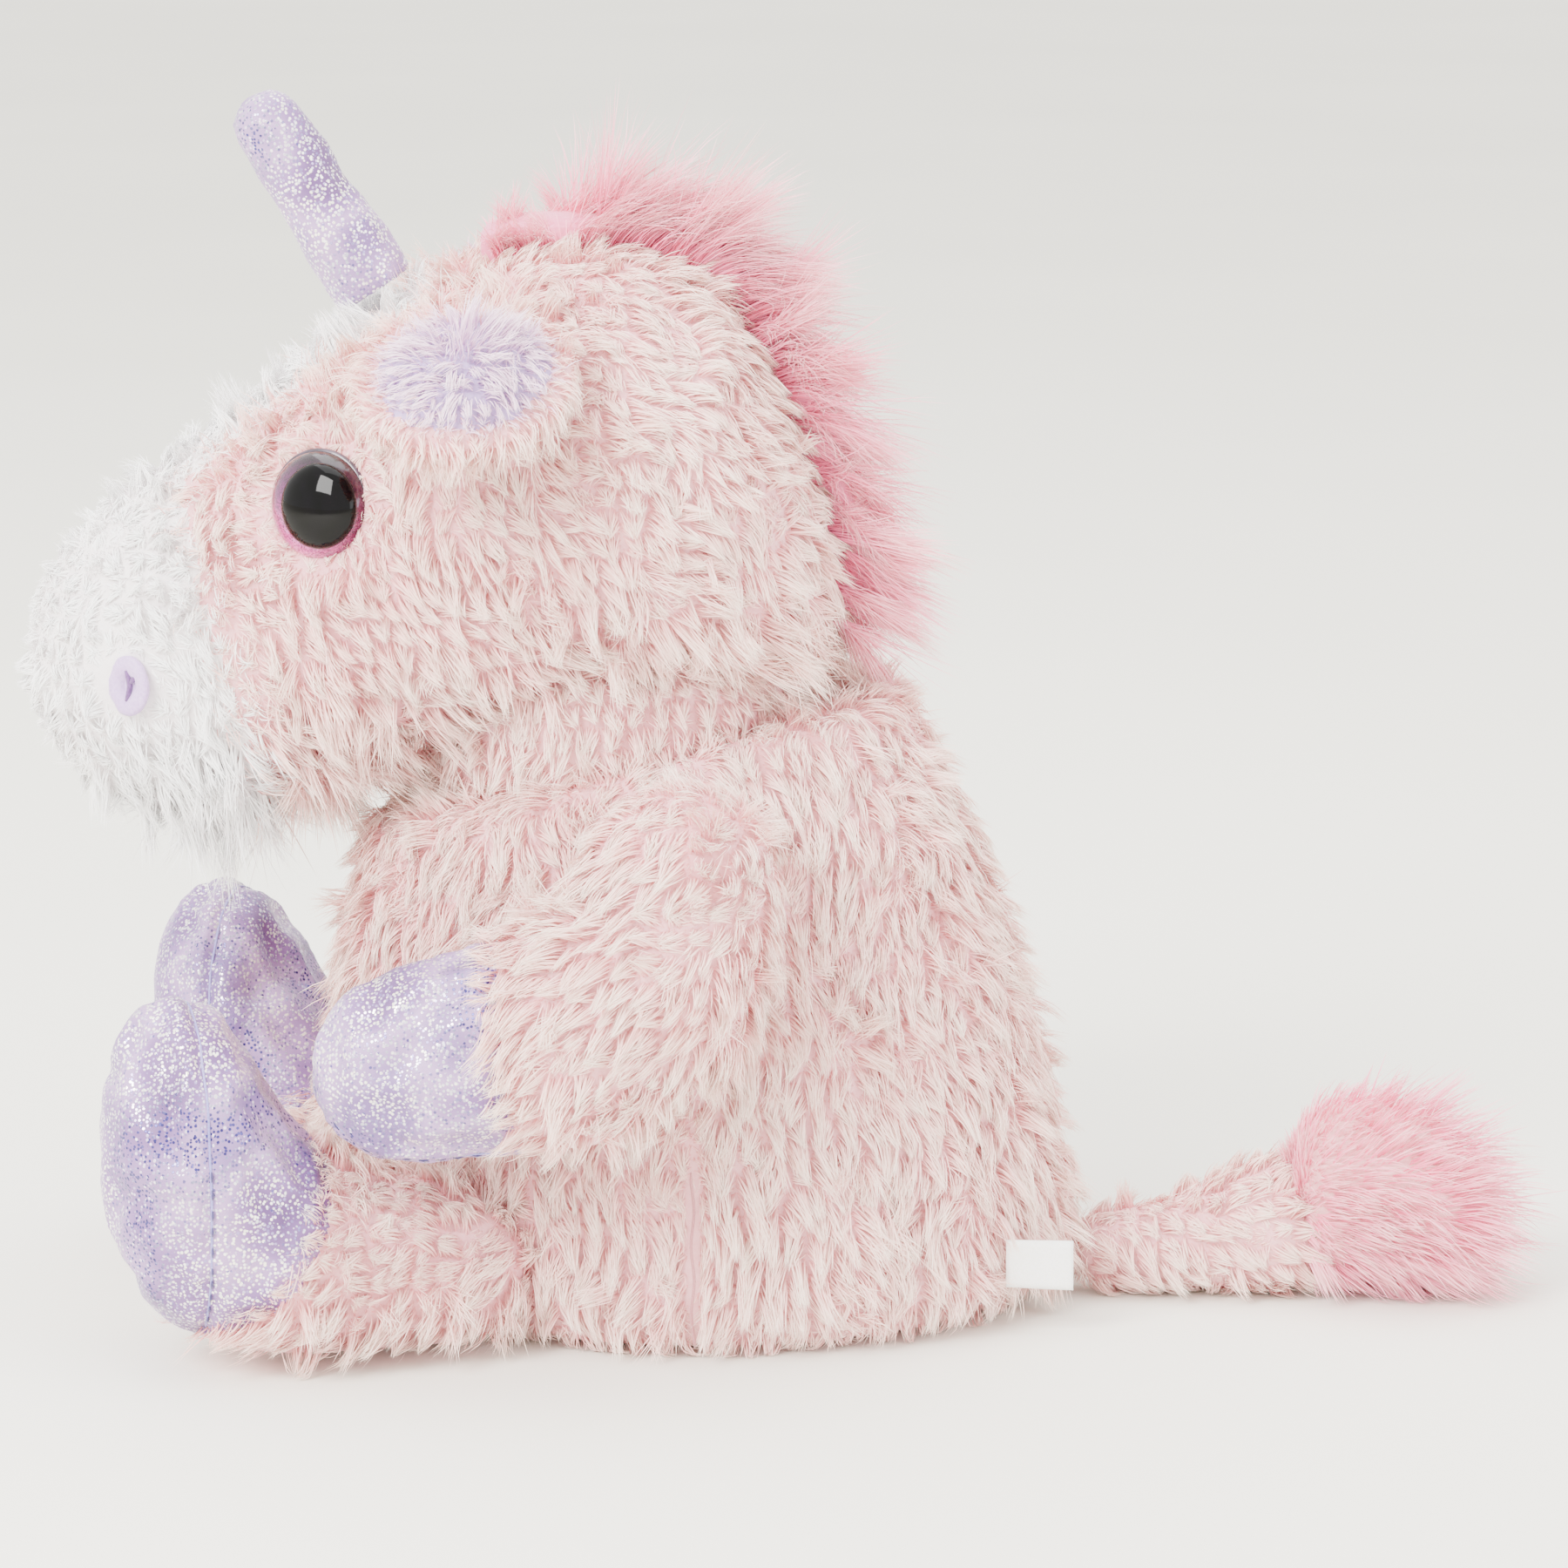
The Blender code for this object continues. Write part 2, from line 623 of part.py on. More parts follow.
def make_ear(empties):
    turn = ear_turn()
    out = turn.to_3x3() @ Vector((0, 0, 1))
    half_long, half_wide, half_thick = EAR_SIZE
    centre = EAR_ROOT + EAR_WAY * (half_long + 4 * MM)
    back = ball(centre, 1.0, EAR_SIZE, turn, points=16)
    cut(back, half_space(centre + out * 1.0 * MM, out))
    share = EAR_LINING_SHARE
    lining_size = (half_long * share, half_wide * share, half_thick * share)
    lining = ball(centre, 1.0, lining_size, turn, points=16)
    keep_inside(lining, half_space(centre + out * (1.0 * MM + GAP), out))
    for piece, name, slot in (
        (back, "ear_back", "pink_plush"),
        (lining, "ear_lining", "lilac_plush"),
    ):
        finish(mirrored(piece), name + "_right", slot, empties["ear_right"])
        finish(piece, name + "_left", slot, empties["ear_left"])


def pair(pieces, limb, empties):
    """Finishes the left pieces of a limb and their mirrored copies."""
    for piece, part, slot in pieces:
        finish(mirrored(piece), f"{limb}_{part}_right", slot, empties[f"{limb}_right"])
        finish(piece, f"{limb}_{part}_left", slot, empties[f"{limb}_left"])


def make_arms(empties):
    form = round_ended_tube(ARM_LINE, ARM_RADII, ARM_FLATNESS, LIMB_POINTS)
    seam = ARM_HOOF_AT
    way = ARM_HOOF_WAY
    sleeve = shell_of(form, SKIN)
    cut(sleeve, half_space(seam - way * GAP, way))
    hoof = keep_inside(shell_of(form, HOOF_SKIN), half_space(seam, way))
    side = ARM_PANEL_WAY
    outer = keep_inside(copy_of(hoof), half_space(seam + side * GAP / 2, side))
    inner = keep_inside(hoof, half_space(seam - side * GAP / 2, -side))
    stuffing = keep_inside(drawn_in(form, SKIN + GAP), half_space(seam + way * 1 * MM, -way))
    tip = keep_inside(drawn_in(form, HOOF_SKIN + GAP), half_space(seam + way * GAP, way))
    pieces = (
        (sleeve, "sleeve", "pink_plush"),
        (outer, "hoof_outer", "foil_cloth"),
        (inner, "hoof_inner", "foil_cloth"),
        (boolean(stuffing, tip, "UNION"), "stuffing", "polyester_stuffing"),
    )
    pair(pieces, "arm", empties)
    bpy.data.objects.remove(form)


def hoof_roller(extra):
    """The round block whose edge is the leg's sewn line between sleeve and hoof."""
    way = leg_direction()
    across = Vector((-way.y, way.x, 0))
    distance, height = HOOF_ARC_CENTRE
    centre = Vector((LEG_HINGE.x, LEG_HINGE.y, 0)) + way * distance
    centre.z = height
    radius = HOOF_ARC_RADIUS + extra
    rows = [(radius, -80 * MM), (radius, 80 * MM)]
    return turned(rows, centre, across, points=40)


def make_legs(empties):
    form = leg_form()
    way = leg_direction()
    seam = LEG_HINGE + way * LEG_SEAM_DISTANCE
    sleeve = cut(shell_of(form, SKIN), hoof_roller(GAP))
    hoof = keep_inside(shell_of(form, HOOF_SKIN), hoof_roller(0))
    sole = keep_inside(copy_of(hoof), half_space(seam + way * GAP / 2, way))
    instep = keep_inside(hoof, half_space(seam - way * GAP / 2, -way))
    stuffing = cut(drawn_in(form, SKIN + GAP), hoof_roller(-1 * MM))
    toe = keep_inside(drawn_in(form, HOOF_SKIN + GAP), hoof_roller(-0.8 * MM))
    pieces = (
        (sleeve, "sleeve", "pink_plush"),
        (sole, "hoof_sole", "foil_cloth"),
        (instep, "hoof_instep", "foil_cloth"),
        (boolean(stuffing, toe, "UNION"), "stuffing", "polyester_stuffing"),
    )
    pair(pieces, "leg", empties)
    bpy.data.objects.remove(form)


def make_tail(tail, tuft):
    form = lofted_along_y(TAIL_ROWS, LIMB_POINTS)
    sleeve = shell_of(form, TAIL_SKIN)
    mouth = turned([(3.2 * MM, 0), (3.2 * MM, 30 * MM)], TUFT_HINGE, Vector((0, 1, 0)), points=12)
    finish(cut(sleeve, mouth), "tail_sleeve", "pink_plush", tail)
    finish(drawn_in(form, TAIL_SKIN + GAP), "tail_stuffing", "polyester_stuffing", tail)
    brush = lofted_along_y(TUFT_ROWS, LIMB_POINTS)
    cut(brush, ball(TUFT_HINGE, TUFT_RECESS_RADIUS, points=20))
    finish(brush, "tail_tuft", "mane_pile", tuft)
    bpy.data.objects.remove(form)


def main():
    clear_scene()
    places = {
        "torso": Vector((0, 0, 0)),
        "neck": NECK_CENTRE,
        "head": NECK_CENTRE,
        "horn": HORN_FOOT,
        "ear_left": EAR_ROOT,
        "arm_left": ARM_HINGE,
        "leg_left": LEG_HINGE,
        "tail": TAIL_HINGE,
        "tuft": TUFT_HINGE,
    }
    for limb in ("ear", "arm", "leg"):
        place = places[limb + "_left"]
        places[limb + "_right"] = Vector((-place.x, place.y, place.z))
    empties = {name: body_empty(name, place) for name, place in places.items()}
    make_body(empties["torso"])
    make_neck(empties["neck"])
    make_head(empties["head"])
    make_horn(empties["horn"])
    make_ear(empties)
    make_arms(empties)
    make_legs(empties)
    make_tail(empties["tail"], empties["tuft"])


main()
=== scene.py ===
import bpy
import bmesh
import json
import math
import numpy as np
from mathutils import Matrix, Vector
from mathutils.bvhtree import BVHTree


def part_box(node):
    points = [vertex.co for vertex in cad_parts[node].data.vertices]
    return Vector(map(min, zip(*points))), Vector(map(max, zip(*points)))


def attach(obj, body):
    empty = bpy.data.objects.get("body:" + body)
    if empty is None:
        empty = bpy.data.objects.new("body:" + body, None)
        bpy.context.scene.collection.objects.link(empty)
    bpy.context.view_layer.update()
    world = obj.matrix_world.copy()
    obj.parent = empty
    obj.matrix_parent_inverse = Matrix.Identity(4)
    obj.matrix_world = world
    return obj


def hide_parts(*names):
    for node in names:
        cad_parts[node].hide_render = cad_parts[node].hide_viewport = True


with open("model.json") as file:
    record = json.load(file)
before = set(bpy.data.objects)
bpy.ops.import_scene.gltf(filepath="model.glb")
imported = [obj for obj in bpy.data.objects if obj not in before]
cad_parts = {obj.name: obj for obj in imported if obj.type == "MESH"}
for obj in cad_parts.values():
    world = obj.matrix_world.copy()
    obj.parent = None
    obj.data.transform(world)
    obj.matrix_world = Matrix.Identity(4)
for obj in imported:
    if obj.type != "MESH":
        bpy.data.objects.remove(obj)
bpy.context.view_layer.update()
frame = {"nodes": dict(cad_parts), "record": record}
NODES = frame["nodes"]
BEHAVIOUR = frame["record"]["behaviour"]
SIDES = ("left", "right")
MM = 0.001
RNG = np.random.default_rng(7)

# ---------------------------------------------------------------- materials

FUR_UV = "OFBake"  # the fur's UV layer: its X runs from a deep to a light strand, its Y from root to tip
DISC_UV = "disc"  # the turned pieces' UV layer: their face seen along the axis


def colour(text):
    """A hex colour as linear RGBA."""
    c = np.array([int(text[i:i + 2], 16) for i in (0, 2, 4)]) / 255
    c = np.where(c <= 0.04045, c / 12.92, ((c + 0.055) / 1.055) ** 2.4)
    return (*[float(x) for x in c], 1.0)


def new_material(name, sockets):
    m = bpy.data.materials.new(name)
    m.use_nodes = True
    shader = m.node_tree.nodes["Principled BSDF"]
    for key, value in sockets.items():
        shader.inputs[key].default_value = value
    return m, m.node_tree, shader


def node(nt, kind, **values):
    n = nt.nodes.new(kind)
    for key, value in values.items():
        n.inputs[key].default_value = value
    return n


def ramp(nt, source, stops):
    n = nt.nodes.new("ShaderNodeValToRGB")
    nt.links.new(source, n.inputs[0])
    elements = n.color_ramp.elements
    for i, (at, text) in enumerate(stops):
        e = elements[i] if i < 2 else elements.new(at)  # a new ramp has two stops
        e.position = at
        e.color = colour(text)
    return n.outputs[0]


def mix(nt, factor, a, b, how="MIX"):
    """Blends two colours. factor is a number or another node's output."""
    n = nt.nodes.new("ShaderNodeMix")
    n.data_type = "RGBA"
    n.blend_type = how
    if isinstance(factor, float):
        n.inputs[0].default_value = factor
    else:
        nt.links.new(factor, n.inputs[0])
    nt.links.new(a, n.inputs[6])
    nt.links.new(b, n.inputs[7])
    return n.outputs[2]


def noise(nt, scale, detail=2.0):
    at = nt.nodes.new("ShaderNodeTexCoord")
    n = node(nt, "ShaderNodeTexNoise", Scale=scale, Detail=detail)
    nt.links.new(at.outputs["Object"], n.inputs["Vector"])
    return n.outputs[0]


def cells(nt, scale):
    at = nt.nodes.new("ShaderNodeTexCoord")
    n = node(nt, "ShaderNodeTexVoronoi", Scale=scale)
    nt.links.new(at.outputs["Object"], n.inputs["Vector"])
    return n


def uv_parts(nt, layer):
    """The X and the Y of a UV layer."""
    uv = nt.nodes.new("ShaderNodeUVMap")
    uv.uv_map = layer
    parts = nt.nodes.new("ShaderNodeSeparateXYZ")
    nt.links.new(uv.outputs[0], parts.inputs[0])
    return parts.outputs["X"], parts.outputs["Y"]


def bump(nt, shader, height, strength, distance):
    n = node(nt, "ShaderNodeBump", Strength=strength, Distance=distance)
    nt.links.new(height, n.inputs["Height"])
    nt.links.new(n.outputs[0], shader.inputs["Normal"])


def pile_material(name, deep, light):
    """Strands shaded from root to tip, between a deeper and a lighter set of tones."""
    m, nt, shader = new_material(name, {
        "Roughness": 0.75, "Specular IOR Level": 0.15, "Sheen Weight": 0.35, "Sheen Roughness": 0.5})
    tone, along = uv_parts(nt, FUR_UV)
    sets = [ramp(nt, along, list(zip((0.0, 0.35, 1.0), shades))) for shades in (deep, light)]
    nt.links.new(mix(nt, tone, *sets), shader.inputs["Base Color"])
    return m


def cloth_material(name, low, high, scale=900, rough=0.85, strength=0.4):
    """Knitted or woven backing under the pile, with mottling and a fine grain."""
    m, nt, shader = new_material(name, {"Roughness": rough, "Sheen Weight": 0.3})
    tone = mix(nt, 0.5, noise(nt, 60), noise(nt, scale))
    nt.links.new(ramp(nt, tone, [(0.3, low), (0.7, high)]), shader.inputs["Base Color"])
    bump(nt, shader, noise(nt, scale), strength, 0.3 * MM)
    return m


def foil_material(name):
    """Lilac cloth printed with fine foil dots, coloured with painted reflection: white flashes in some zones
    and dark in others.
    """
    m, nt, shader = new_material(name, {"Specular IOR Level": 0.4, "Sheen Weight": 0.15})
    dots = cells(nt, 1250)
    dot = ramp(nt, dots.outputs["Distance"], [(0.0, "FFFFFF"), (0.36, "FFFFFF"), (0.5, "000000")])
    tint = dots.outputs["Color"]
    # Painted reflection: the dots are coloured deep blue in some noise zones and as white flashes in others.
    dark = ramp(nt, tint, [(0.0, "1E1A50"), (0.5, "403880"), (0.65, "9080B8"), (0.85, "E8DCF4")])
    painted_flashes = ramp(nt, tint, [(0.0, "54468E"), (0.3, "B09AD0"), (0.5, "FFFFFF"), (0.8, "FFFAE8")])
    painted_flash_zones = ramp(nt, noise(nt, 30, 1.0), [(0.42, "000000"), (0.56, "FFFFFF")])
    ground = ramp(nt, noise(nt, 42, 1.0), [
        (0.32, "644379"), (0.45, "85619C"), (0.56, "AB89BA"), (0.68, "785A94")])
    foil = mix(nt, painted_flash_zones, dark, painted_flashes)
    nt.links.new(mix(nt, dot, ground, foil), shader.inputs["Base Color"])
    for socket, on_cloth, on_foil in (("Roughness", 0.5, 0.2), ("Metallic", 0.0, 0.45)):
        n = nt.nodes.new("ShaderNodeMapRange")
        n.inputs["To Min"].default_value = on_cloth
        n.inputs["To Max"].default_value = on_foil
        nt.links.new(dot, n.inputs["Value"])
        nt.links.new(n.outputs[0], shader.inputs[socket])
    bump(nt, shader, dot, 0.3, 0.2 * MM)
    return m


def glitter_material(name):
    """Glitter under a clear lens, with painted light and shade: lit pale lilac at the left, pink below, and
    shaded dark magenta above and at the right.
    """
    m, nt, shader = new_material(name, {
        "Roughness": 0.25, "Metallic": 0.55, "Coat Weight": 1.0, "Coat Roughness": 0.03})
    across, up = uv_parts(nt, DISC_UV)
    # Painted shade and light: the glitter darkens towards the top and the right, and is painted pale at the
    # left.
    painted_shade_from_top = ramp(nt, up, [(0.05, "D070A8"), (0.3, "A03A7C"), (0.6, "601C4E"), (0.92, "200618")])
    painted_light_from_left = ramp(nt, across, [(0.04, "FFFFFF"), (0.3, "F2DCFF"), (0.6, "9A6A98"), (0.95, "402440")])
    base = mix(nt, 0.7, painted_shade_from_top, painted_light_from_left, "MULTIPLY")
    grain = cells(nt, 3200).outputs["Color"]
    # The flakes' tones vary at random, and the white flakes are painted glints.
    flake_tone_and_glints = ramp(nt, grain, [(0.15, "60406A"), (0.5, "D8C0E0"), (0.9, "FFFFFF")])
    nt.links.new(mix(nt, 0.75, base, flake_tone_and_glints, "OVERLAY"), shader.inputs["Base Color"])
    bump(nt, shader, grain, 0.5, 0.3 * MM)
    return m


def moulded_material(name, low, high, rough, coat=0.0, gloss=0.5):
    """Moulded plastic with a faint mottling."""
    m, nt, shader = new_material(name, {
        "Roughness": rough, "Specular IOR Level": gloss, "Coat Weight": coat, "Coat Roughness": 0.02})
    nt.links.new(ramp(nt, noise(nt, 300), [(0.35, low), (0.65, high)]), shader.inputs["Base Color"])
    bump(nt, shader, noise(nt, 600), 0.03, 0.2 * MM)
    return m


PINK_PILE = pile_material("pink_pile", ("E28A92", "F9BEB9", "FFE5D8"), ("F2A8AA", "FED5CD", "FFF4E6"))
WHITE_PILE = pile_material("white_pile", ("F1EAEB", "FCFAF9", "FFFFFF"), ("F8F4F4", "FFFFFF", "FFFFFF"))
LILAC_PILE = pile_material("lilac_pile", ("CC98CC", "ECC6E2", "F8DEEE"), ("DCB0DA", "F6D8EC", "FFEEF6"))
MANE_PILE = pile_material("mane_pile", ("EC5488", "FA7FA6", "FEB2C2"), ("F674A2", "FE9DBA", "FFD8D4"))
PINK_CLOTH = cloth_material("pink_backing", "E09CA4", "EFB9BC")
WHITE_CLOTH = cloth_material("white_backing", "E9DEE0", "F6F0F0")
MANE_CLOTH = cloth_material("mane_backing", "DB6E95", "EE92B0")
LILAC_CLOTH = cloth_material("lilac_backing", "A78CC4", "C4AEDA")
FOIL = foil_material("dotted_foil_cloth")
GLITTER = glitter_material("eye_glitter")
BLACK = moulded_material("pupil_black", "010101", "030204", 0.05, gloss=0.16)
RIM = moulded_material("eye_rim", "2B2430", "4A3A4C", 0.3, coat=0.5)
WASHER = moulded_material("washer_plastic", "C9CCD0", "E0E2E4", 0.45)
FIBRE = cloth_material("stuffing_fibre", "E4E2DC", "FAF9F6", 500, 0.95, 0.8)
BAG = cloth_material("bag_weave", "D8D0C0", "EAE4D6", 1400, 0.9, 0.5)
THREAD = cloth_material("dark_thread", "2E2452", "4B3F7C", 2500, 0.6, 0.5)
SEAM = cloth_material("pink_seam_thread", "A8646C", "C98A8E", 2500, 0.7, 0.5)
CREASE = cloth_material("seam_edge", "6F6BB4", "A79AD6", 2000, 0.5, 0.5)
SATIN = cloth_material("label_satin", "F2F0EA", "FFFFFF", 1800, 0.35, 0.15)
NOSE = cloth_material("nostril_satin", "AE84C8", "CFB0E2", 1500, 0.7, 0.4)
# Dark purple threads laid in the nostrils' pinch: painted shade of the dimple.
NOSTRIL_PINCH_SHADE = cloth_material("nostril_pinch_shade", "4A2A5A", "7E5590", 1500, 0.8, 0.4)

# ---------------------------------------------------------------- mesh tools


def link(name, mesh):
    ob = bpy.data.objects.new(name, mesh)
    bpy.context.scene.collection.objects.link(ob)
    return ob


def mesh_object(name, verts, faces, material):
    me = bpy.data.meshes.new(name)
    me.from_pydata([tuple(v) for v in verts], [], [tuple(f) for f in faces])
    me.materials.append(material)
    me.shade_smooth()
    return link(name, me)


def points_of(mesh):
    co = np.empty(len(mesh.vertices) * 3, np.float32)
    mesh.vertices.foreach_get("co", co)
    return co.reshape(-1, 3).astype(float)


def normals_of(mesh):
    up = np.empty(len(mesh.vertices) * 3, np.float32)
    mesh.vertex_normals.foreach_get("vector", up)
    return up.reshape(-1, 3).astype(float)


def move_points(mesh, points):
    mesh.vertices.foreach_set("co", points.astype(np.float32).ravel())
    mesh.update()


def evaluated(ob):
    """The same object, with its modifiers applied to its mesh."""
    graph = bpy.context.evaluated_depsgraph_get()
    me = bpy.data.meshes.new_from_object(ob.evaluated_get(graph))
    ob.modifiers.clear()
    ob.data = me
    return ob


def unit(v):
    return v / np.maximum(np.linalg.norm(v, axis=-1, keepdims=True), 1e-9)


def mirrored(way, side):
    """A vector given for the left side, turned over for the right one."""
    return way * (1 if side == "left" else -1, 1, 1)


def wobble(points, size, seed):
    """Smooth noise over points, mostly from -1 to 1, with features of about this size."""
    r = np.random.default_rng(seed)
    total = np.zeros(len(points))
    for _ in range(6):
        way = r.normal(size=3)
        total += np.sin(points @ (way / np.linalg.norm(way)) * (math.tau / size) * r.uniform(0.6, 1.5)
                        + r.uniform(0, math.tau))
    return total / 3


def swirl(points, size, seed):
    """Three such noises as a vector at each point."""
    return np.stack([wobble(points, size, seed + i) for i in range(3)], 1)


def distances(points, names):
    """How far each point lies from each CAD node, one column a node."""
    out = np.empty((len(points), len(names)))
    for k, name in enumerate(names):
        me = NODES[name].data
        tree = BVHTree.FromPolygons([v.co for v in me.vertices], [tuple(p.vertices) for p in me.polygons])
        for i, p in enumerate(points):
            out[i, k] = tree.find_nearest(Vector(p))[3]
    return out


def skin_of(name, nodes, voxel, hull=False, smooth=3):
    """One closed skin round several CAD nodes, which fills the gaps between them."""
    bm = bmesh.new()
    for n in nodes:
        bm.from_mesh(NODES[n].data)
    if hull:
        result = bmesh.ops.convex_hull(bm, input=bm.verts)
        bmesh.ops.delete(bm, geom=[v for v in bm.verts if not v.link_faces], context="VERTS")
        inner = [g for g in result["geom_interior"] if isinstance(g, bmesh.types.BMVert) and g.is_valid]
        bmesh.ops.delete(bm, geom=inner, context="VERTS")
    me = bpy.data.meshes.new(name)
    bm.to_mesh(me)
    bm.free()
    ob = link(name, me)
    m = ob.modifiers.new("remesh", "REMESH")
    m.mode, m.voxel_size = "VOXEL", voxel
    m = ob.modifiers.new("smooth", "SMOOTH")
    m.iterations, m.factor = smooth, 0.5
    return evaluated(ob)


def inflate(ob, pinned, cap, pressure=4.0, growth=0.05):
    """Cloth simulation: stuffing presses the skin out between the pinned points, by cap at most."""
    before = points_of(ob.data)
    group = ob.vertex_groups.new(name="pin")
    group.add([int(i) for i in np.flatnonzero(pinned)], 1.0, "REPLACE")
    m = ob.modifiers.new("cloth", "CLOTH")
    s = m.settings
    s.use_pressure, s.uniform_pressure_force = True, pressure
    s.effector_weights.gravity = 0
    s.vertex_group_mass = "pin"
    s.shrink_min = -growth
    s.quality = 5
    scene = bpy.context.scene
    for f in range(1, 21):
        scene.frame_set(f)
    graph = bpy.context.evaluated_depsgraph_get()
    move = points_of(ob.evaluated_get(graph).data) - before
    far = np.linalg.norm(move, axis=1, keepdims=True)
    move *= np.minimum(1, cap / np.maximum(far, 1e-9))
    ob.modifiers.clear()
    ob.vertex_groups.clear()
    scene.frame_set(1)
    move_points(ob.data, before + move)


def subdivided(ob):
    m = ob.modifiers.new("subdivision", "SUBSURF")
    m.levels = m.render_levels = 1
    return evaluated(ob)


def split(ob, near, pieces, body):
    """Cuts a skin into one cloth piece for each CAD node, by which node each face is nearest.

    near gives the nearest node's place in pieces at each vertex, and pieces gives each node's
    piece name and material."""
    faces = [tuple(p.vertices) for p in ob.data.polygons]
    owner = np.array([np.bincount(near[list(f)], minlength=len(pieces)).argmax() for f in faces])
    co = points_of(ob.data)
    for k, (node_name, (title, material)) in enumerate(pieces.items()):
        chosen = [f for f, o in zip(faces, owner) if o == k]
        used = np.unique([v for f in chosen for v in f])
        new = {int(v): i for i, v in enumerate(used)}
        piece = mesh_object(title, co[used], [[new[v] for v in f] for f in chosen], material)
        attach(piece, body)
        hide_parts(node_name)


# ---------------------------------------------------------------- fur

FLOOR_GAP = 0.4 * MM  # the lowest that a strand comes
PATCH = 10 * MM  # tufts this close together lean alike
SHORTEST = 0.6 * MM  # a strand shorter than this is left out
PIECE_STRANDS = 37000  # the most in one piece, which keeps it under 200,000 triangles
WIDE_PANEL = 70000  # a panel with more strands is shared out along X, not along Y
SEAM_REACH = 1.6 * MM  # the pile is shorter this close to a seam


def in_tufts(roots, clump):
    """The tuft and the patch of tufts that each root belongs to, and each tuft's middle."""
    cell = np.floor((roots + swirl(roots, 9 * MM, 1) * MM) / clump)
    _, tuft = np.unique(cell.astype(int), axis=0, return_inverse=True)
    tuft = tuft.ravel()
    middle = np.stack([np.bincount(tuft, roots[:, a]) for a in range(3)], 1) / np.bincount(tuft)[:, None]
    _, patch = np.unique(np.floor(cell * clump / PATCH).astype(int), axis=0, return_inverse=True)
    return tuft, patch.ravel(), middle


def ribbons(name, path, across, half, tones, material):
    """Strands as flat strips that taper to a point, with each one's tone in its UV layer."""
    n, steps = len(tones), len(path) - 1
    rows = []
    for i, p in enumerate(path[:-1]):
        w = half * (1 - (i / steps) ** 1.6 * 0.6)
        rows += [p - across * w, p + across * w]
    rows.append(path[-1])
    co = np.stack(rows, 1).reshape(-1, 3)
    co[:, 2] = np.maximum(co[:, 2], FLOOR_GAP)
    quads = [[2 * i, 2 * i + 1, 2 * i + 3, 2 * i + 2] for i in range(steps - 1)]
    pattern = np.array([v for q in quads for v in q] + [2 * steps - 2, 2 * steps - 1, 2 * steps])
    loops = (pattern[None] + (np.arange(n) * len(rows))[:, None]).ravel()
    sizes = np.array([4] * (steps - 1) + [3])
    starts = np.concatenate([[0], np.cumsum(np.tile(sizes, n))[:-1]])
    me = bpy.data.meshes.new(name)
    me.vertices.add(len(co))
    me.vertices.foreach_set("co", co.astype(np.float32).ravel())
    me.loops.add(len(loops))
    me.loops.foreach_set("vertex_index", loops.astype(np.int32))
    me.polygons.add(n * steps)
    me.polygons.foreach_set("loop_start", starts.astype(np.int32))
    me.update(calc_edges=True)
    uv = me.uv_layers.new(name=FUR_UV)
    data = np.empty((n, len(pattern), 2), np.float32)
    data[:, :, 0] = np.clip(tones, 0.02, 0.98)[:, None]
    data[:, :, 1] = np.clip((pattern // 2) / steps, 0.02, 0.98)[None]
    uv.data.foreach_set("uv", data.ravel())
    me.materials.append(material)
    return link(name, me)


def strands(name, roots, ups, combs, lengths, tones, material, body, width=0.28 * MM,
            lean=0.6, clump=5 * MM, pull=0.95, droop=0.1, steps=3, curl=0.13):
    """Pile that rises from the skin, bends over along its comb and gathers in tufts."""
    tuft, patch, middle = in_tufts(roots, clump)
    n, count = len(roots), len(middle)
    tuft_way = RNG.normal(size=(count, 3))[tuft] * 0.3
    tuft_way = tuft_way + RNG.normal(size=(patch.max() + 1, 3))[patch] * 0.28
    tuft_long = RNG.uniform(0.72, 1.28, count)[tuft]
    tones = tones + RNG.normal(0, 0.16, count)[tuft]
    long = (lengths * tuft_long * RNG.uniform(0.7, 1.1, n))[:, None]
    own_way = RNG.normal(size=(n, 3)) * curl
    combs = unit(combs - ups * np.sum(combs * ups, 1, keepdims=True) + (tuft_way + own_way))
    inwards = (middle[tuft] - roots) * pull
    path = []
    for t in np.linspace(0, 1, steps + 1):
        rise = t * (1 - lean * 0.45) - lean * 0.42 * t * t
        run = lean * (0.45 * t + 0.55 * t * t)
        p = roots + ups * (rise * long) + combs * (run * long) + inwards * t ** 1.4
        p[:, 2] -= (droop * t * t * long)[:, 0]
        p[:, 2] = np.maximum(p[:, 2], FLOOR_GAP + 0.2 * MM * t)
        path.append(p)
    ahead = unit(path[-1] - path[0])
    across = unit(np.cross(ahead, ups) + 1e-6)
    roll = RNG.uniform(-0.8, 0.8, (n, 1))
    across = across * np.cos(roll) + np.cross(ahead, across) * np.sin(roll)
    half = width / 2 * RNG.uniform(0.75, 1.25, (n, 1))
    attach(ribbons(name, path, across, half, tones, material), body)


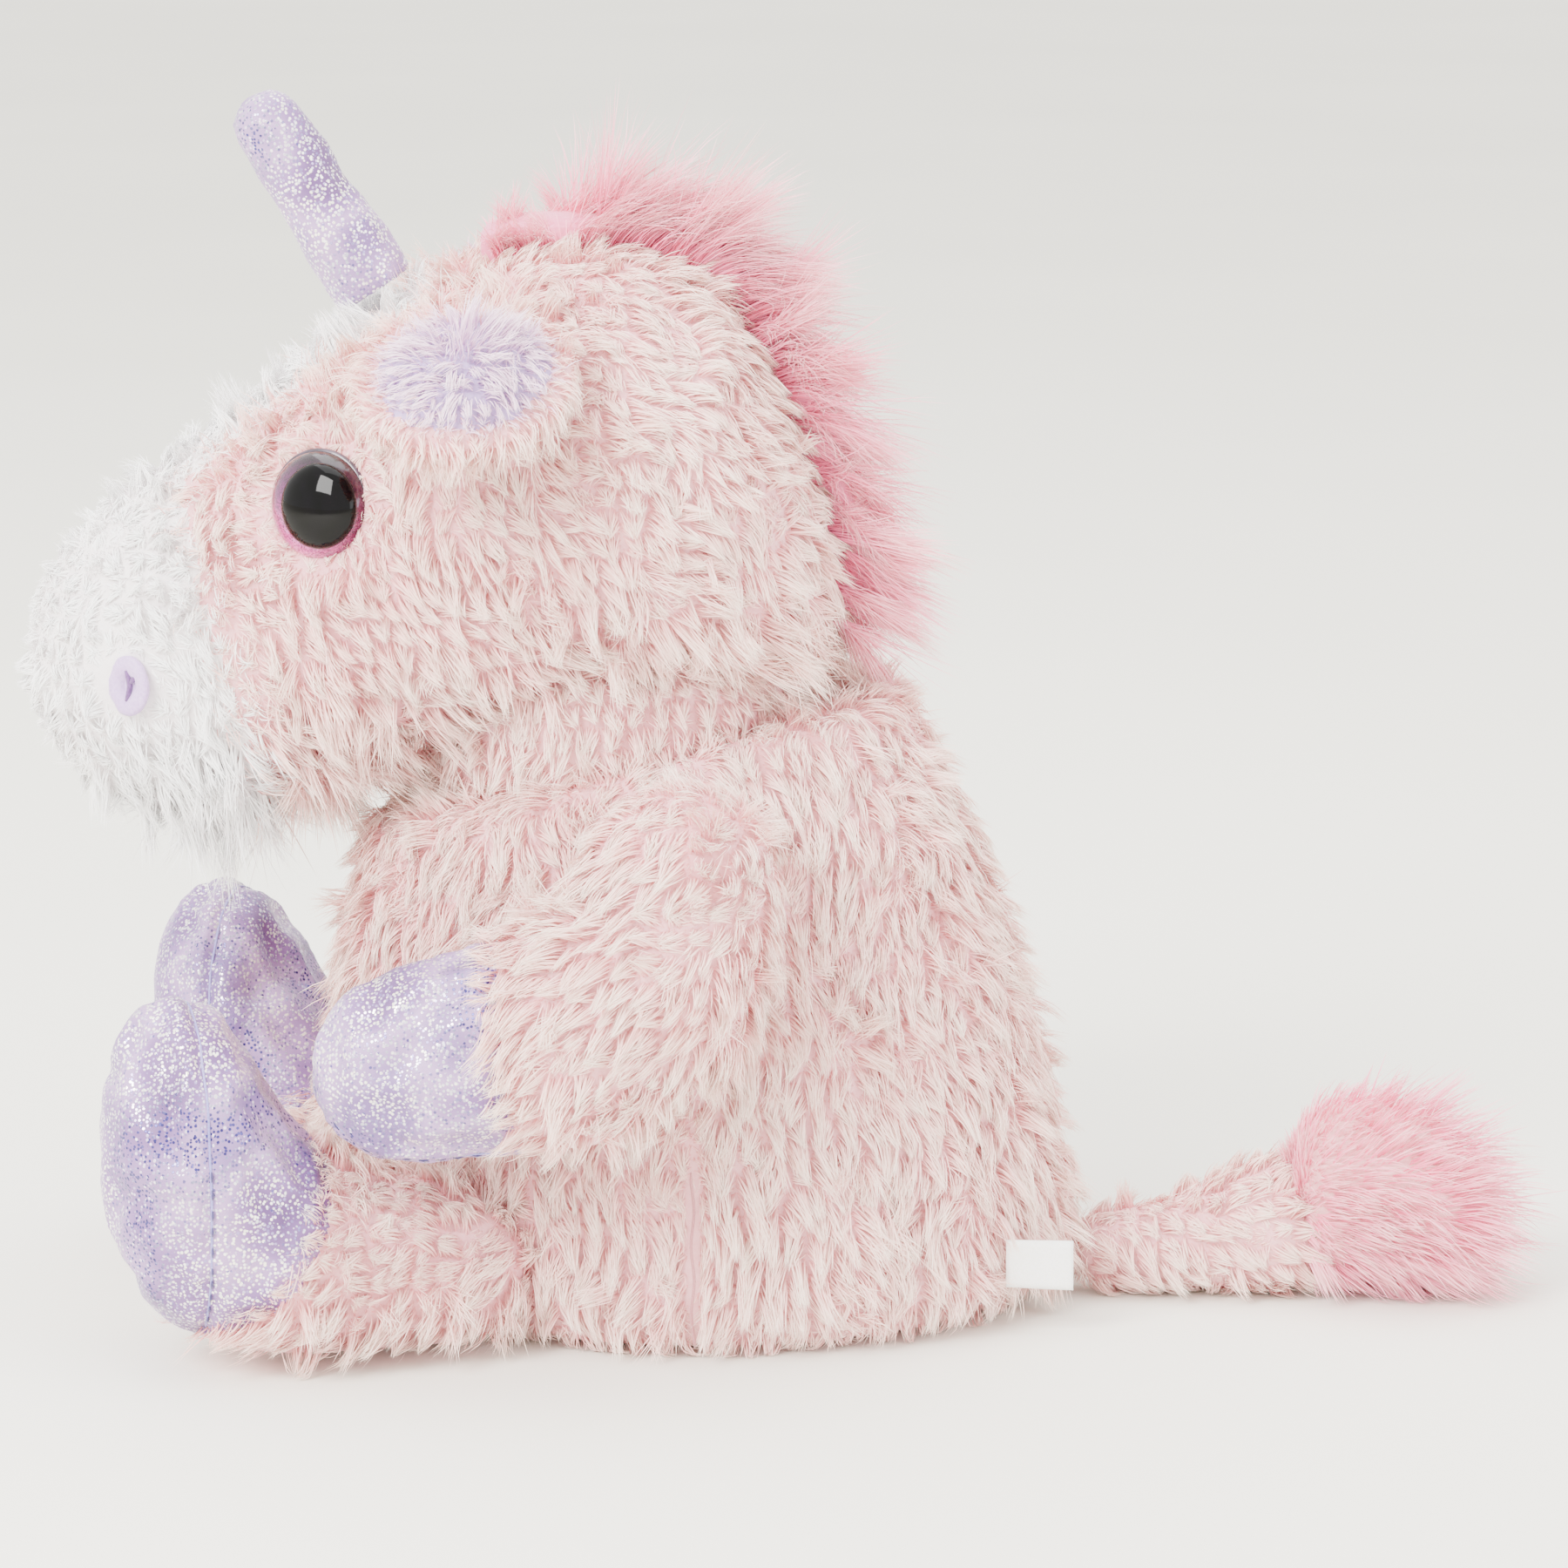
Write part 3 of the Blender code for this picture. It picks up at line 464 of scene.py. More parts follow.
class Skin:
    """A skin's triangles, with values at its vertices that can be read at any point on it."""

    def __init__(self, ob, names):
        me = ob.data
        me.calc_loop_triangles()
        self.names = names
        self.co = points_of(me)
        self.up = normals_of(me)
        tri = np.empty(len(me.loop_triangles) * 3, np.int32)
        me.loop_triangles.foreach_get("vertices", tri)
        self.tri = tri.reshape(-1, 3)
        self.away = distances(self.co, names)
        a, b, c = (self.co[self.tri[:, i]] for i in range(3))
        self.area = np.linalg.norm(np.cross(b - a, c - a), axis=1) / 2

    def scatter(self, per_mm2):
        """Random points on the skin: places, normals and distances from each node."""
        n = int(self.area.sum() * 1e6 * per_mm2 * (1))
        pick = np.searchsorted(np.cumsum(self.area), RNG.uniform(0, self.area.sum(), n))
        pick = np.minimum(pick, len(self.tri) - 1)
        u, v = RNG.uniform(0, 1, (2, n))
        flip = u + v > 1
        u[flip], v[flip] = 1 - u[flip], 1 - v[flip]
        w = np.stack([1 - u - v, u, v], 1)[:, :, None]
        t = self.tri[pick]
        return (self.co[t] * w).sum(1), unit((self.up[t] * w).sum(1)), (self.away[t] * w).sum(1)


def seam_gap(away):
    """How far each point is from the nearest seam between two panels, a metre where there is none."""
    if away.shape[1] < 2:
        return np.full(len(away), 1.0)
    near = np.sort(away, axis=1)
    return (near[:, 1] - near[:, 0]) / 2


def tone_at(at, seed):
    """Light and deep zones over the fur, with some difference from strand to strand."""
    zones = 0.5 + 0.22 * wobble(at, 45 * MM, seed) + 0.18 * wobble(at, 12 * MM, seed + 1)
    return zones + RNG.normal(0, 0.16, len(at))


def grow(skin, looks, body, per_mm2, length, comb, keep=None, blur=0.9 * MM, **options):
    """Fur over a whole skin, as one piece or a few for each panel.

    looks gives each node's piece name and pile. length, comb and keep are functions of place and
    normal. blur is how far the strands of two panels mix at their border."""
    at, up, away = skin.scatter(per_mm2)
    owner = (away + RNG.normal(0, blur, away.shape)).argmin(1)
    furry = [k for k, n in enumerate(skin.names) if n in looks]
    close = np.clip(seam_gap(away[:, furry]) / SEAM_REACH, 0.45, 1)
    far = length(at, up) * close
    ok = far > SHORTEST
    if keep is not None:
        ok &= keep(at, up)
    ways = comb(at, up)
    # Strands near a seam take deeper tones as well as shorter lengths: painted shade along the seams.
    tones = tone_at(at, len(body)) - 0.35 * (1 - close)  # the name's length is the tones' seed
    for k in furry:
        title, material = looks[skin.names[k]]
        mine = np.flatnonzero(ok & (owner == k))
        mine = mine[np.argsort(at[mine, 0 if len(mine) > WIDE_PANEL else 1])]
        shares = np.array_split(mine, max(1, math.ceil(len(mine) / PIECE_STRANDS)))
        for i, chosen in enumerate(shares):
            strands(f"{title}_{i + 1}" if len(shares) > 1 else title, at[chosen], up[chosen],
                    ways[chosen], far[chosen], tones[chosen], material, body, **options)


def even(value):
    """The same length all over."""
    def length(at, up):
        return np.full(len(at), value)
    return length


def ways_of(vector):
    """A comb that points one way, with a gentle swirl."""
    def comb(at, up):
        return np.array(vector, float) + 0.35 * swirl(at, 30 * MM, 11)
    return comb


# ---------------------------------------------------------------- facts from the CAD


def middle_of(name):
    """The middle of a node's box, as a numpy point."""
    low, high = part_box(name)
    return (np.array(low) + np.array(high)) / 2


def joint_at(name):
    j = next(j for j in BEHAVIOUR["joints"] if j["name"] == name)
    return np.array(j["pos_m"], float)


BODY_OF = {n: b for b, members in BEHAVIOUR["bodies"].items() for n in members}
EYES = {s: middle_of("eye_pupil_" + s) for s in SIDES}
NOSTRILS = {s: middle_of("nostril_" + s) for s in SIDES}
HORN_FOOT = joint_at("horn_flex")
NECK = joint_at("head_nod")

# Directions, given for the left side where there are two.
EYE_WAY = unit(np.array([0.89, -0.44, 0.10]))
NOSTRIL_WAY = unit(np.array([0.88, -0.47, 0.02]))
EAR_FACING = np.array([0.60, -0.72, -0.33])
NECK_TILT = np.array([0, -0.2571, 0.9664])
HORN_WAY = unit(np.array([0, -0.533, 0.846]))
HORN_BACK = np.array([0, 0.846, 0.533])  # square to the horn, towards the mane

# ---------------------------------------------------------------- torso

TORSO_CLOTH = {
    "body_front_panel": ("front_panel_cloth", PINK_CLOTH),
    "body_back_panel": ("back_panel_cloth", PINK_CLOTH),
    "body_base_panel": ("base_panel_cloth", PINK_CLOTH)}
TORSO_FUR = {
    "body_front_panel": ("front_fur", PINK_PILE),
    "body_back_panel": ("back_fur", PINK_PILE),
    "body_base_panel": ("base_fur", PINK_PILE)}
BODY_PER_MM2 = 2.3  # strands on the torso, limbs and tail
BODY_PILE = 9 * MM
NECK_OPENING = 42 * MM  # the torso has no fur this close to the neck's middle
PARTING = 1.2 * MM  # half the width of the parted fur along a side seam
PARTING_TOP = 42 * MM


def torso_length(at, up):
    covered = (up[:, 2] < -0.85) | (np.linalg.norm(at - NECK, axis=1) < NECK_OPENING)
    parted = (np.abs(at[:, 1]) < PARTING) & (at[:, 2] < PARTING_TOP) & (np.abs(at[:, 0]) > 30 * MM)
    far = BODY_PILE + 1.5 * MM * wobble(at, 40 * MM, 5)
    return np.where(covered, 0.0, np.where(parted, 0.15 * far, far))


def make_side_seams(ob):
    """The side seams, drawn tight where the fur parts near the floor."""
    tree = BVHTree.FromObject(ob, bpy.context.evaluated_depsgraph_get())
    lines = []
    for way in (1, -1):
        line = []
        for z in np.linspace(3, 44, 28) * MM:
            hit = tree.ray_cast(Vector((way * 0.2, 0.0, z)), Vector((-way, 0, 0)))[0]
            line.append(np.array(hit) + np.array([way * 3.4 * MM, 0.35 * MM * math.sin(z * 400), 0]))
        lines.append(line)
    threads("side_seams", lines, 0.35 * MM, SEAM, "torso")


def make_torso():
    names = list(TORSO_CLOTH)
    ob = skin_of("torso_skin", names, 3 * MM, hull=True)
    skin = Skin(ob, names)
    split(ob, skin.away.argmin(1), TORSO_CLOTH, "torso")
    grow(skin, TORSO_FUR, "torso", BODY_PER_MM2, torso_length, ways_of((0, 0.05, -1)), lean=0.72)
    make_side_seams(ob)
    bpy.data.objects.remove(ob)


# ---------------------------------------------------------------- head and neck

HEAD_CLOTH = {
    "head_panel_left": ("head_cloth_left", PINK_CLOTH),
    "head_panel_right": ("head_cloth_right", PINK_CLOTH),
    "muzzle_panel": ("muzzle_cloth", WHITE_CLOTH)}
HEAD_FUR = {
    "head_panel_left": ("head_fur_left", PINK_PILE),
    "head_panel_right": ("head_fur_right", PINK_PILE),
    "muzzle_panel": ("muzzle_fur", WHITE_PILE)}
NOSE_Y = -150 * MM
CHIN_Z = 130 * MM
MANE_CENTRE = np.array([0, -30 * MM, 190 * MM])  # the mane's hair points away from here


def from_eye(at):
    """How far each point is from the nearer eye's axis, and its way out from there."""
    way = np.zeros((len(at), 3))
    gap = np.full(len(at), 1.0)
    for side, centre in EYES.items():
        axis = mirrored(EYE_WAY, side)
        rel = at - centre
        rel = rel - (rel @ axis)[:, None] * axis
        d = np.where(at[:, 0] * axis[0] > 0, np.linalg.norm(rel, axis=1), 1.0)
        near = d < gap
        gap = np.where(near, d, gap)
        way[near] = unit(rel)[near]
    return gap, way


def from_nostril(at):
    return np.min([np.linalg.norm(at - c, axis=1) for c in NOSTRILS.values()], axis=0)


def head_comb(at, up):
    """Back over the head, down at the back and the jaw, and out round the eyes and nostrils."""
    back = np.clip((at[:, 1] - NOSE_Y) / (90 * MM), 0, 1)[:, None]
    way = np.array([0, 0.55, -0.25]) * (1 - back) + np.array([0, 0.75, -0.75]) * back
    low = np.clip((CHIN_Z - 2 * MM - at[:, 2]) / (14 * MM), 0, 1)[:, None]
    way = way * (1 - low) + np.array([0, 0.1, -1.0]) * low
    gap, off = from_eye(at)
    near = np.clip(1 - (gap - 11 * MM) / (10 * MM), 0, 1)[:, None]
    way = way * (1 - near) + off * near * 1.3
    for centre in NOSTRILS.values():
        rel = at - centre
        near = np.clip(1.6 - np.linalg.norm(rel, axis=1) / (8 * MM), 0, 1)[:, None]
        way = way * (1 - near) + unit(rel) * near * 1.4
    return way + 0.4 * swirl(at, 28 * MM, 21)


def head_length(at, up):
    """Short on the nose, and longer under the chin and where the head's fur hides the neck."""
    nose = np.clip((at[:, 1] - NOSE_Y) / (55 * MM), 0, 1)
    far = (3.2 + 4.8 * nose) * MM + MM * wobble(at, 30 * MM, 6)
    chin = np.clip((CHIN_Z - at[:, 2]) / (14 * MM), 0, 1) * (at[:, 1] > -118 * MM)
    skirt = np.clip((24 * MM - (at - NECK) @ NECK_TILT) / (16 * MM), 0, 1)
    far = far + MM * np.maximum(4.5 * chin, 8 * skirt)
    at_nostril = np.clip((from_nostril(at) - 4 * MM) / (9 * MM), 0.35, 1)
    return far * np.clip((from_eye(at)[0] - 8 * MM) / (10 * MM), 0.4, 1) * at_nostril


def head_keep(at, up):
    """No fur on the eyes and nostrils, under the horn's foot or inside the neck."""
    horn = np.linalg.norm(at - HORN_FOOT, axis=1)
    neck = np.linalg.norm(at - NECK, axis=1)
    return (from_eye(at)[0] > 11 * MM) & (from_nostril(at) > 7 * MM) & (horn > 8.5 * MM) & (neck > 44 * MM)


def make_mane_backing():
    """The mane's backing lies low under its hair."""
    strip = skin_of("mane_cloth", ["mane_strip"], 2 * MM, smooth=4)
    co = points_of(strip.data)
    move_points(strip.data, co - unit((co - MANE_CENTRE) * (0, 1, 1)) * 9 * MM)
    strip.data.materials.append(MANE_CLOTH)
    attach(strip, "head")
    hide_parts("mane_strip")


def make_mane_hair(skin):
    """Long straight hair from the strip along the crown and nape."""
    at, up, _ = skin.scatter(8.0)
    mine = (np.abs(at[:, 0]) < 9.5 * MM) & (at[:, 1] > -44 * MM) & (at[:, 2] > 158 * MM)
    mine &= np.sum(up * unit(at - MANE_CENTRE), 1) > 0.1
    at = at[mine]
    aside = at * (1, 0, 0)
    up = unit(unit((at - MANE_CENTRE) * (0, 1, 1)) + 25 * aside)
    front = np.clip((at[:, 1] + 48 * MM) / (26 * MM), 0.45, 1)
    nape = np.clip((215 * MM - at[:, 2]) / (50 * MM), 0, 1)
    spread = 30 * aside + np.array([0, 0.6, -0.35]) + 0.4 * swirl(at, 12 * MM, 31)
    strands("mane_hair", at, up, spread, (31 * front - 6 * nape) * MM, tone_at(at, 40), MANE_PILE, "head",
            width=0.26 * MM, lean=0.42, clump=3.6 * MM, pull=0.4, steps=5, curl=0.2)


def make_head():
    names = list(HEAD_CLOTH)
    ob = skin_of("head_skin", names + ["head_stuffing"], 2.6 * MM)
    skin = Skin(ob, names)
    split(ob, skin.away.argmin(1), HEAD_CLOTH, "head")
    make_mane_backing()
    grow(skin, HEAD_FUR, "head", 2.4, head_length, head_comb, head_keep, blur=2.6 * MM, lean=0.68)
    make_mane_hair(skin)
    bpy.data.objects.remove(ob)


def make_neck():
    """A ball of plush in the crease between head and body."""
    low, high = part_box("neck_wad")
    centre = middle_of("neck_wad")
    bm = bmesh.new()
    bmesh.ops.create_icosphere(bm, subdivisions=4, radius=(high.z - low.z) / 2)
    bmesh.ops.translate(bm, verts=bm.verts, vec=Vector(centre))
    me = bpy.data.meshes.new("neck_cloth")
    bm.to_mesh(me)
    bm.free()
    me.shade_smooth()
    me.materials.append(PINK_CLOTH)
    ball = link("neck_cloth", me)

    def in_crease(at, up):
        return np.abs((at - centre) @ NECK_TILT) < 15 * MM

    grow(Skin(ball, ["neck_wad"]), {"neck_wad": ("neck_fur", PINK_PILE)}, "neck", 2, even(7 * MM),
         ways_of((0, 0, -1)), in_crease)
    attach(ball, "neck")
    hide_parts("neck_wad")


# ---------------------------------------------------------------- horn


def make_horn():
    """The horn: inflated, dented on three sides half way up, and a little creased all over."""
    ob = skin_of("horn_cloth", ["horn_cover", "horn_stuffing"], 1.6 * MM, smooth=4)
    co = points_of(ob.data)
    along = (co - HORN_FOOT) @ HORN_WAY
    move_points(ob.data, co - HORN_WAY * (0.1 * np.maximum(along, 0))[:, None])
    inflate(ob, along < 4 * MM, 1.2 * MM, pressure=3.0, growth=0.03)
    co = points_of(ob.data)
    out = unit(co - HORN_FOOT - along[:, None] * HORN_WAY)
    turn = np.arctan2(out[:, 0], out @ HORN_BACK)
    dent = np.exp(-((along - 27 * MM) / (5 * MM)) ** 2) * (0.5 + 0.5 * np.sin(turn * 3 + 1))
    co -= out * (1.1 * MM * dent)[:, None]
    co += out * (0.28 * MM * wobble(co, 9 * MM, 51) * np.clip(along / (8 * MM), 0, 1))[:, None]
    move_points(ob.data, co)
    ob = subdivided(ob)
    ob.data.materials.append(FOIL)
    ob.data.shade_smooth()
    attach(ob, "horn")
    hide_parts("horn_cover")


# ---------------------------------------------------------------- ears


def make_ear(side):
    back, lining, body = "ear_back_" + side, "ear_lining_" + side, "ear_" + side
    ob = skin_of("ear_skin", [back, lining], 1.8 * MM)
    skin = Skin(ob, [back, lining])
    split(ob, skin.away.argmin(1), {
        back: ("ear_cloth_" + side, PINK_CLOTH),
        lining: ("ear_lining_cloth_" + side, LILAC_CLOTH)}, body)
    middle, facing = middle_of(back), mirrored(EAR_FACING, side)

    def at_rim(up):
        return 1 - np.abs(up @ facing)

    def comb(at, up):
        return unit(at - middle) * at_rim(up)[:, None] + np.array([0, -0.25, -0.8]) \
            + 0.4 * swirl(at, 12 * MM, 41)

    def length(at, up):
        return (4.5 + 5 * at_rim(up)) * MM

    grow(skin, {back: ("ear_fur_" + side, PINK_PILE), lining: ("ear_lining_fur_" + side, LILAC_PILE)},
         body, 2.6, length, comb, lean=0.62, clump=3 * MM)
    bpy.data.objects.remove(ob)


# ---------------------------------------------------------------- threads


def tube(line, radius, points=8):
    """The points and faces of a round thread along a line, with narrower ends."""
    line = np.asarray(line, float)
    ahead = unit(np.gradient(line, axis=0))
    side = unit(np.cross(ahead, [0.31, 0.22, 0.92]))
    other = np.cross(ahead, side)
    last = len(line) - 1
    verts, faces = [], []
    for i, p in enumerate(line):
        r = radius * (1 if 0 < i < last else 0.45)
        for k in range(points):
            a = math.tau * k / points
            verts.append(p + (side[i] * math.cos(a) + other[i] * math.sin(a)) * r)
    for i in range(last):
        for k in range(points):
            a, b = i * points, (i + 1) * points
            faces.append((a + k, a + (k + 1) % points, b + (k + 1) % points, b + k))
    faces.append(tuple(range(points))[::-1])
    faces.append(tuple(last * points + k for k in range(points)))
    return verts, faces


def threads(name, lines, radius, material, body):
    """Several threads as one piece, such as a row of stitches."""
    verts, faces = [], []
    for line in lines:
        v, f = tube(line, radius)
        faces += [tuple(i + len(verts) for i in face) for face in f]
        verts += v
    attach(mesh_object(name, verts, faces, material), body)


# ---------------------------------------------------------------- limbs

# For the left side: a hoof's two panels, the axis that its seam runs round, and the fur's way.
LIMBS = {
    "arm": (("outer", "inner"), unit(np.array([0.966, 0, 0.259])), unit(np.array([0.0, -0.8, -0.5]))),
    "leg": (("sole", "instep"), unit(np.array([0.259, -0.966, 0])), unit(np.array([0.259, -0.966, 0])))}
STITCH_EVERY = 3.6 * MM
STITCH_HALF = 1.1 * MM
WIDEST_GAP = 9 * MM  # a seam with a wider gap in it is open, and starts after the gap


def on_limb(co, names, reach=0.0):
    """How far past the hoof's seam each point is, and whether it is on the hoof."""
    away = distances(co, names)
    return away[:, 1] - away[:, 2], away[:, 1:].min(1) < away[:, 0] + reach


def ordered_round(points, centre, axis):
    """Sorts points by their angle round an axis, and merges those within 3 degrees."""
    side = unit(np.cross(axis, [0.3, 0.2, 0.9]))
    other = np.cross(axis, side)
    rel = points - centre
    angle = np.arctan2(rel @ other, rel @ side)
    order = np.argsort(angle)
    bins = np.round(angle[order] / math.radians(3)).astype(int)
    return np.array([points[order][bins == b].mean(0) for b in np.unique(bins)])


def seam_line(mesh, co, normals, seam, on_hoof, centre, axis):
    """The line where the hoof crosses from one panel to the other, just above the cloth."""
    edges = np.empty(len(mesh.edges) * 2, np.int32)
    mesh.edges.foreach_get("vertices", edges)
    a, b = edges.reshape(-1, 2).T
    cross = (seam[a] * seam[b] < 0) & on_hoof[a]
    a, b = a[cross], b[cross]
    share = (seam[a] / (seam[a] - seam[b]))[:, None]
    line = co[a] * (1 - share) + co[b] * share
    line = ordered_round(line + unit(normals[a]) * 0.1 * MM, centre, axis)
    gaps = np.linalg.norm(np.roll(line, -1, 0) - line, axis=1)
    if gaps.max() > WIDEST_GAP:
        line = np.roll(line, -(int(gaps.argmax()) + 1), axis=0)
    for _ in range(2):
        line[1:-1] = (line[:-2] + 2 * line[1:-1] + line[2:]) / 4
    return line


def stitches_on(line, centre):
    """Short threads along the lower half of a seam."""
    stitches, travelled = [], 0.0
    outwards = unit(line - centre)
    for i in range(1, len(line) - 1):
        travelled += float(np.linalg.norm(line[i] - line[i - 1]))
        if travelled <= STITCH_EVERY:
            continue
        travelled = 0.0
        if line[i][2] < centre[2] + 2 * MM:
            way = unit(line[i + 1] - line[i - 1]) * STITCH_HALF
            mid = line[i] + outwards[i] * 0.35 * MM
            stitches.append([mid - way, mid + outwards[i] * 0.15 * MM, mid + way])
    return stitches


def make_limb(kind, side):
    """An arm or a leg: a plush sleeve and a hoof of two foil panels, inflated between its seams."""
    parts, round_axis, forward = LIMBS[kind]
    body = f"{kind}_{side}"
    sleeve = f"{kind}_sleeve_{side}"
    panels = [f"{kind}_hoof_{part}_{side}" for part in parts]
    names = [sleeve] + panels
    ob = skin_of(body + "_skin", names + [f"{kind}_stuffing_{side}"], 2.5 * MM)
    seam, on_hoof = on_limb(points_of(ob.data), names)
    inflate(ob, ~on_hoof | (np.abs(seam) < 2.2 * MM), 2.2 * MM, growth=0.04)

    # The seam is drawn in, and the cloth puckers beside it.
    ob = subdivided(ob)
    me = ob.data
    co, normals = points_of(me), normals_of(me)
    seam, on_hoof = on_limb(co, names, 1 * MM)
    crease = -0.9 * np.exp(-(seam / (1.5 * MM)) ** 2)
    pucker = 0.3 * wobble(co, 5 * MM, 61) * np.exp(-np.abs(seam) / (6 * MM)) + 0.25 * wobble(co, 13 * MM, 62)
    co = co + normals * ((crease + pucker) * on_hoof * MM)[:, None]
    co[:, 2] = np.maximum(co[:, 2], 0.3 * MM)
    move_points(me, co)
    skin = Skin(ob, names)
    near = skin.away.copy()
    near[:, 0] += 2.5 * MM  # the hoof's cloth runs a little way in under the sleeve's fur
    looks = {panel: (f"{kind}_hoof_{part}_cloth_{side}", FOIL) for panel, part in zip(panels, parts)}
    split(ob, near.argmin(1), {sleeve: (f"{kind}_sleeve_cloth_{side}", PINK_CLOTH), **looks}, body)

    centre = middle_of(panels[0])
    line = seam_line(me, co, normals, seam, on_hoof, centre, mirrored(round_axis, side))
    threads(f"{kind}_hoof_seam_{side}", [line], 0.3 * MM, CREASE, body)
    threads(f"{kind}_hoof_stitches_{side}", stitches_on(line, centre), 0.32 * MM, THREAD, body)

    def comb(at, up):
        return mirrored(forward, side) + 0.4 * swirl(at, 25 * MM, 71)

    def length(at, up):
        return np.where(up[:, 2] < -0.8, 0.0, 1.0) * (8.5 + wobble(at, 30 * MM, 8)) * MM

    grow(skin, {sleeve: (f"{kind}_fur_{side}", PINK_PILE)}, body, BODY_PER_MM2, length, comb, lean=0.68)
    bpy.data.objects.remove(ob)


# ---------------------------------------------------------------- tail


def make_tail():
    ob = skin_of("tail_skin", ["tail_sleeve", "tail_stuffing"], 2.4 * MM)
    skin = Skin(ob, ["tail_sleeve"])
    split(ob, skin.away.argmin(1), {"tail_sleeve": ("tail_cloth", PINK_CLOTH)}, "tail")
    grow(skin, {"tail_sleeve": ("tail_fur", PINK_PILE)}, "tail", BODY_PER_MM2, even(7 * MM),
         ways_of((0, 1, 0.1)), lean=0.7)
    bpy.data.objects.remove(ob)


def make_tuft():
    """Long hair that fans out from the sleeve's end, round a small core."""
    core = skin_of("tuft_core", ["tail_tuft"], 2.5 * MM, smooth=6)
    at, up, _ = Skin(core, ["tail_tuft"]).scatter(3.2)
    low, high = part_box("tail_tuft")
    foot = np.array([0, low.y - 4 * MM, 16 * MM])
    reach = np.clip((at[:, 1] - low.y) / (high.y - low.y), 0, 1)
    out = unit(at - foot)
    start = foot + (at - foot) * RNG.uniform(0.25, 0.85, (len(at), 1))
    strands("tuft_hair", start, unit(out + 0.35 * up), out + np.array([0, 0.2, -0.1]),
            (10 + 10 * reach) * MM, tone_at(at, 80), MANE_PILE, "tuft",
            lean=0.25, clump=3.6 * MM, pull=0.45, droop=0.12, steps=5, curl=0.12)
    move_points(core.data, foot + (points_of(core.data) - foot) * (0.82, 0.8, 0.82))
    core.data.materials.append(PINK_CLOTH)
    core.data.shade_smooth()
    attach(core, "tuft")
    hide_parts("tail_tuft")


# ---------------------------------------------------------------- eyes, nostrils, label


def turned(name, centre, axis, rows, material, count=64):
    """A turned form: rows of (radius, height along the axis), from its foot to its top."""
    side = unit(np.cross([0, 0, 1.0], axis))
    top = np.cross(axis, side)
    outer = max(r for r, _ in rows)
    verts, faces, uvs = [], [], []
    for r, h in rows:
        for k in range(count):
            a = math.tau * k / count
            verts.append(centre + axis * h + (side * math.cos(a) + top * math.sin(a)) * r)
            uvs.append((0.5 + 0.5 * r / outer * math.cos(a), 0.5 + 0.5 * r / outer * math.sin(a)))
    last = (len(rows) - 1) * count
    for b in range(0, last, count):
        for k in range(count):
            faces.append((b + k, b + (k + 1) % count, b + count + (k + 1) % count, b + count + k))
    faces.append(tuple(range(count))[::-1])
    faces.append(tuple(last + k for k in range(count)))
    ob = mesh_object(name, verts, faces, material)
    uv = ob.data.uv_layers.new(name=DISC_UV)
    for loop in ob.data.loops:
        uv.data[loop.index].uv = uvs[loop.vertex_index]
    return ob


def dome(radius, rise, foot, count, degrees):
    """Rows for turned() over a low dome."""
    return [(radius * math.cos(a), foot + rise * math.sin(a))
            for a in np.linspace(0, math.radians(degrees), count)]


def along_and_out(name, centre, way):
    """A node's points as heights along an axis and distances from it."""
    rel = points_of(NODES[name].data) - centre
    up = rel @ way
    return up, np.linalg.norm(rel - up[:, None] * way, axis=1)


def make_eye(side):
    """A shank and a domed glitter disc, a black dome on it and a dark moulded rim round it."""
    way = mirrored(EYE_WAY, side)
    pupil = points_of(NODES["eye_pupil_" + side].data).mean(0)
    centre = EYES[side] - way * float((EYES[side] - pupil) @ way)
    iris_up, iris_out = along_and_out("eye_iris_" + side, centre, way)
    pupil_up, pupil_out = along_and_out("eye_pupil_" + side, centre, way)
    base = float(iris_up[iris_out > iris_out.max() * 0.97].min())
    wide = float(iris_out.max()) * 0.96
    foot, top = float(pupil_up.min()), float(pupil_up.max())

    rows = [(3 * MM, float(iris_up.min())), (3 * MM, base), (wide, base)]
    rows += dome(wide, foot - base + 0.6 * MM, base + 1.0 * MM, 14, 80)
    ob = turned("eye_glitter_" + side, centre, way, rows, GLITTER)
    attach(ob, "head")
    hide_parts("eye_iris_" + side)

    aside = mirrored(unit(np.cross([0, 0, 1.0], EYE_WAY)), side)  # the pupil sits towards the cheek
    rows = dome(float(pupil_out.max()) * 1.04, top - foot + 0.6 * MM, foot - 1.0 * MM, 12, 88)
    ob = turned("pupil_dome_" + side, centre + aside * 1.9 * MM, way, rows, BLACK)
    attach(ob, "head")
    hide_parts("eye_pupil_" + side)

    rows = [(wide + r * MM, base + h * MM) for r, h in (
        (-0.4, 0.2), (0.5, 0.2), (0.6, 0.9), (0.2, 1.5), (-0.5, 1.4))]
    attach(turned("eye_rim_" + side, centre, way, rows, RIM), "head")


